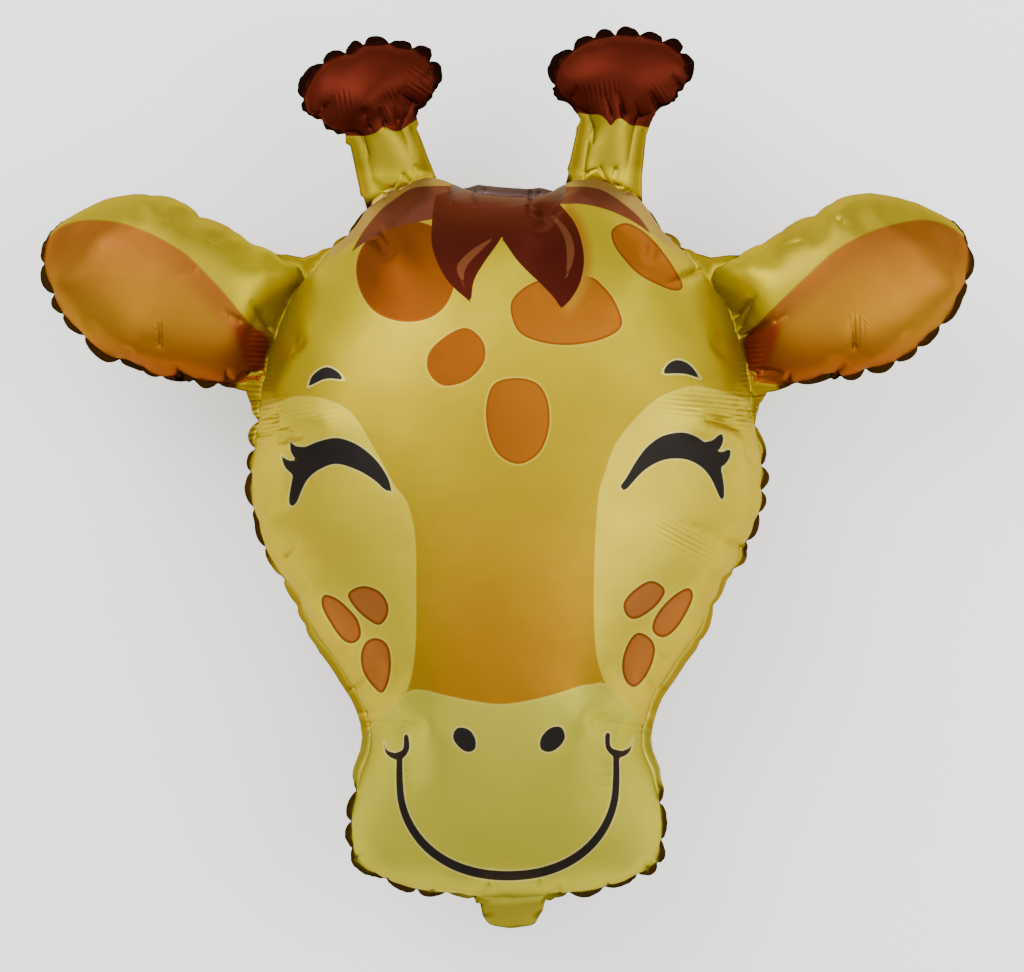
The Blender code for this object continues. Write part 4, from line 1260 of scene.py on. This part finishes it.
def printed_foil():
    """Metallised nylon film, flexo printed in clear inks, with painted shade and a painted reflection:
    satin, with tinted soft reflections.
    """
    material = bpy.data.materials.new("printed_metallised_nylon_film")
    material.use_nodes = True
    tree = material.node_tree
    tree.nodes.clear()
    place = node(tree, "ShaderNodeTexCoord").outputs["Object"]
    axes = node(tree, "ShaderNodeSeparateXYZ", {0: place}).outputs
    reads = {"right": axes[0], "up": axes[1]}
    reads["across"] = node(tree, "ShaderNodeMath", {0: axes[0]}, operation="ABSOLUTE").outputs[0]
    for name in (*PRINT, *MEASURES):
        reads[name] = node(tree, "ShaderNodeAttribute", attribute_name=name).outputs["Fac"]

    colour = linear(BASE_YELLOW)
    for ink, *masks in INKS_AND_PAINTED_LIGHT:
        cover = 1.0
        for name, start, full in masks:
            mask = node(tree, "ShaderNodeMapRange", {0: reads[name], 1: start, 2: full},
                        interpolation_type="SMOOTHSTEP").outputs[0]
            cover = node(tree, "ShaderNodeMath", {0: mask, 1: cover}, operation="MULTIPLY").outputs[0]
        colour = node(tree, "ShaderNodeMix", {0: cover, 6: colour, 7: linear(ink)},
                      data_type="RGBA").outputs[2]
    cloud = node(tree, "ShaderNodeTexNoise",
                 {"Vector": place, "Scale": 1 / CLOUD_SIZE, "Detail": 3.0}).outputs[0]
    # Multiplied over the colour: painted shade on the hem's lobes and on the flat hem, and a faint
    # cloudiness
    shades = (
        (SEAM_SHADE, reads["burnt"], 0.3, 0.7),
        (HEM_SHADE, reads["web"], 0.2, 1.0),
        (CLOUD_TINT, cloud, 0.35, 0.75),
    )
    for shade, value, start, full in shades:
        cover = node(tree, "ShaderNodeMapRange", {0: value, 1: start, 2: full}).outputs[0]
        colour = node(tree, "ShaderNodeMix", {0: cover, 6: colour, 7: linear(shade)},
                      data_type="RGBA", blend_type="MULTIPLY").outputs[2]

    wobble = node(tree, "ShaderNodeTexNoise",
                  {"Vector": place, "Scale": 1 / WOBBLE_SIZE, "Detail": 2.0}).outputs[0]
    phase = node(tree, "ShaderNodeMath", {0: wobble, 1: WOBBLE_TURN}, operation="MULTIPLY").outputs[0]
    phase = node(tree, "ShaderNodeMath",
                 {0: reads["across_folds"], 1: 2 * math.pi / GATHER_PITCH, 2: phase},
                 operation="MULTIPLY_ADD").outputs[0]
    ripple = node(tree, "ShaderNodeMath", {0: phase}, operation="SINE").outputs[0]
    ripple = node(tree, "ShaderNodeMath", {0: ripple, 1: reads["gather"]},
                  operation="MULTIPLY").outputs[0]
    bump = node(tree, "ShaderNodeBump", {"Height": ripple, "Distance": GATHER_DEPTH}).outputs[0]
    for size, deep in ((SLACK_SIZE, SLACK_DEPTH), (GRAIN_SIZE, GRAIN_DEPTH)):
        waves = node(tree, "ShaderNodeTexNoise",
                     {"Vector": place, "Scale": 1 / size, "Detail": 2.0}).outputs[0]
        bump = node(tree, "ShaderNodeBump",
                    {"Height": waves, "Distance": deep, "Normal": bump}).outputs[0]
    rough = node(tree, "ShaderNodeMapRange",
                 {0: cloud, 1: 0.3, 2: 0.7, 3: ROUGH_LOW, 4: ROUGH_HIGH}).outputs[0]
    shader = node(tree, "ShaderNodeBsdfPrincipled", {
        "Base Color": colour, "Roughness": rough, "Metallic": METALLIC, "Normal": bump,
        "Specular Tint": linear(GRAZING_TINT)}).outputs[0]
    node(tree, "ShaderNodeOutputMaterial", {0: shader})
    return material


def pale_floor():
    """A plain pale floor of matt white board, with a little light of its own as on a light table."""
    bpy.ops.object.select_all(action="DESELECT")
    bpy.ops.mesh.primitive_plane_add(size=FLOOR_SIZE, location=(0.0, 0.0, 0.0))
    floor = bpy.context.object
    floor.name = "floor"
    material = bpy.data.materials.new("matt_white_board")
    material.use_nodes = True
    tree = material.node_tree
    tree.nodes.clear()
    place = node(tree, "ShaderNodeTexCoord").outputs["Object"]
    mottle = node(tree, "ShaderNodeTexNoise", {"Vector": place, "Scale": 3.0, "Detail": 3.0}).outputs[0]
    colour = node(tree, "ShaderNodeMix", {0: mottle, 6: linear(FLOOR_LIGHT), 7: linear(FLOOR_DARK)},
                  data_type="RGBA").outputs[2]
    shader = node(tree, "ShaderNodeBsdfPrincipled", {
        "Base Color": colour, "Roughness": 0.9,
        "Emission Color": linear(FLOOR_LIGHT), "Emission Strength": FLOOR_GLOW}).outputs[0]
    node(tree, "ShaderNodeOutputMaterial", {0: shader})
    floor.data.materials.append(material)


def lamp(name, place, size, power):
    """A soft square lamp that points at the balloon."""
    light = bpy.data.lights.new(name, "AREA")
    light.size = size
    light.energy = power
    item = bpy.data.objects.new(name, light)
    item.location = place
    item.rotation_euler = (Vector(LIT_POINT) - Vector(place)).to_track_quat("-Z", "Y").to_euler()
    bpy.context.scene.collection.objects.link(item)


def soft_sky():
    """White light from all round, strongest overhead."""
    world = bpy.data.worlds.new("studio")
    world.use_nodes = True
    tree = world.node_tree
    tree.nodes.clear()
    way = node(tree, "ShaderNodeTexCoord").outputs["Generated"]
    up = node(tree, "ShaderNodeSeparateXYZ", {0: way}).outputs[2]
    strength = node(tree, "ShaderNodeMapRange",
                    {0: up, 1: 0.0, 2: 1.0, 3: SKY_AT_HORIZON, 4: SKY_OVERHEAD}).outputs[0]
    light = node(tree, "ShaderNodeBackground", {0: linear(SKY), 1: strength}).outputs[0]
    node(tree, "ShaderNodeOutputWorld", {0: light})
    bpy.context.scene.world = world


def camera_above(weld):
    """The camera looks straight down, the horns at the top of the picture."""
    view = bpy.data.cameras.new("camera")
    view.sensor_width = 36.0
    view.lens = view.sensor_width * CAMERA_HEIGHT / VIEW_WIDTH
    view.clip_end = 50.0
    item = bpy.data.objects.new("camera", view)
    item.location = (*CAMERA_CENTRE, weld + CAMERA_HEIGHT)
    bpy.context.scene.collection.objects.link(item)
    bpy.context.scene.camera = item


def blown_shape(piece, weld):
    """The blown-up balloon at the cloth's own fineness, and what its print and finish need to know."""
    faces = triangles(piece.data)
    plan = places(piece.data)
    chamber = chambers_of(plan, faces, weld)
    pattern, on_weld = cut_pattern(plan, faces, chamber, weld)
    rim, out = rims_of(plan, pattern, faces, chamber, on_weld)
    hem_needs = hem_fields(plan, faces, chamber, on_weld, rim, out)
    plan = smooth_tab(plan, faces)
    points = plan
    points = blown_up(piece, pattern, chamber, on_weld, weld)
    points = fitted(points, plan, faces, chamber, on_weld, weld)
    points = calmed(points, plan, faces, chamber, on_weld, rim["reach"])
    points = hung_over(points, faces, chamber, rim, out, weld)
    points[:, 2] = np.maximum(points[:, 2], 0.0)

    face_chamber = chamber[faces].max(axis=1)
    layer = np.sign((plan[faces][:, :, 2] - weld).sum(axis=1)) * (face_chamber >= 0)
    hem = (chamber < 0) & ~on_weld
    ears = np.zeros(len(plan))
    kind = np.array(CHAMBER_KINDS)[face_chamber]
    ears[np.unique(faces[kind == "ear"])] = 1.0
    ears[np.unique(faces[kind == "head"])] = 0.0
    # Painted shade and painted dark reflection on the hem's convex lobes, fading onto the weld
    burnt = rim["hem"] * rim["convex"] * (1.0 - rim["root"])
    burnt *= np.where(hem, 1.0, WELD_PAINTED_SHADE * on_weld)
    fields = {
        "side": np.where(chamber >= 0, np.sign(plan[:, 2] - weld), 0.0),
        "dome": (chamber >= 0).astype(float), "ears": ears,
        "band": np.where((chamber == 0) | on_weld & (rim["loop"] == 0), rim["reach"], 4 * FAR),
        "web": hem.astype(float), **hem_needs,
        "burnt": burnt * (1.0 - in_spots(plan, PLAIN_HEM)),
    }
    return points, faces, layer, fields


def balloon():
    """The whole balloon: welded, blown up, laid down, creased and printed."""
    piece, weld = two_sheets()
    points, faces, layer, fields = blown_shape(piece, weld)
    rings = [closed_shape(shape) for shapes, _ in PRINT.values() for shape in shapes]
    folds = [smooth_line((start, end)) for start, end, _, _ in CREASES]
    points, faces, layer, fields = finer(points, faces, layer, fields, np.ones(len(points), bool))
    points = pinched(lobed_hem(points, fields), fields, weld)
    inked = near_lines(points, [*rings, *folds, smooth_line(SMILE)], FINE_REACH)
    inked &= fields["side"] > FRONT_SIDE
    points, faces, layer, fields = finer(points, faces, layer, fields, inked)
    folded = near_lines(points, folds, FINEST_REACH) & (fields["side"] > FRONT_SIDE)
    points, faces, layer, fields = finer(points, faces, layer, fields, folded)

    points = creased(points, faces, 1.0, CREASES, weld)
    mirrored = [((-a[0], a[1]), (-b[0], b[1]), deep, wide) for a, b, deep, wide in CREASES]
    points = creased(points, faces, -1.0, mirrored, weld)
    points[:, 2] = np.maximum(points[:, 2], 0.0)
    points, faces, fields = closed_shell(points, faces, layer, fields)

    fields.update(print_fields(points, fields["side"]))
    for name in ("lining", "root"):
        fields[name] = np.minimum(fields[name], FAR * (2 * fields["ears"] - 1))
    old, mesh = piece.data, bpy.data.meshes.new("printed_foil_balloon")
    mesh.from_pydata(points.tolist(), [], faces.tolist())
    mesh.update()
    piece.data = mesh
    bpy.data.meshes.remove(old)
    for name in (*PRINT, *MEASURES):
        attribute = mesh.attributes.new(name, "FLOAT", "POINT")
        attribute.data.foreach_set("value", fields[name].astype(np.float32))
    at_work_on(piece)
    bpy.ops.object.shade_smooth()
    mesh.materials.append(printed_foil())
    return piece, weld


piece, weld = balloon()
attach(piece, "root")
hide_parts(NODE)
pale_floor()
lamp("key", *KEY_LAMP)
lamp("fill", *FILL_LAMP)
camera_above(weld)
soft_sky()
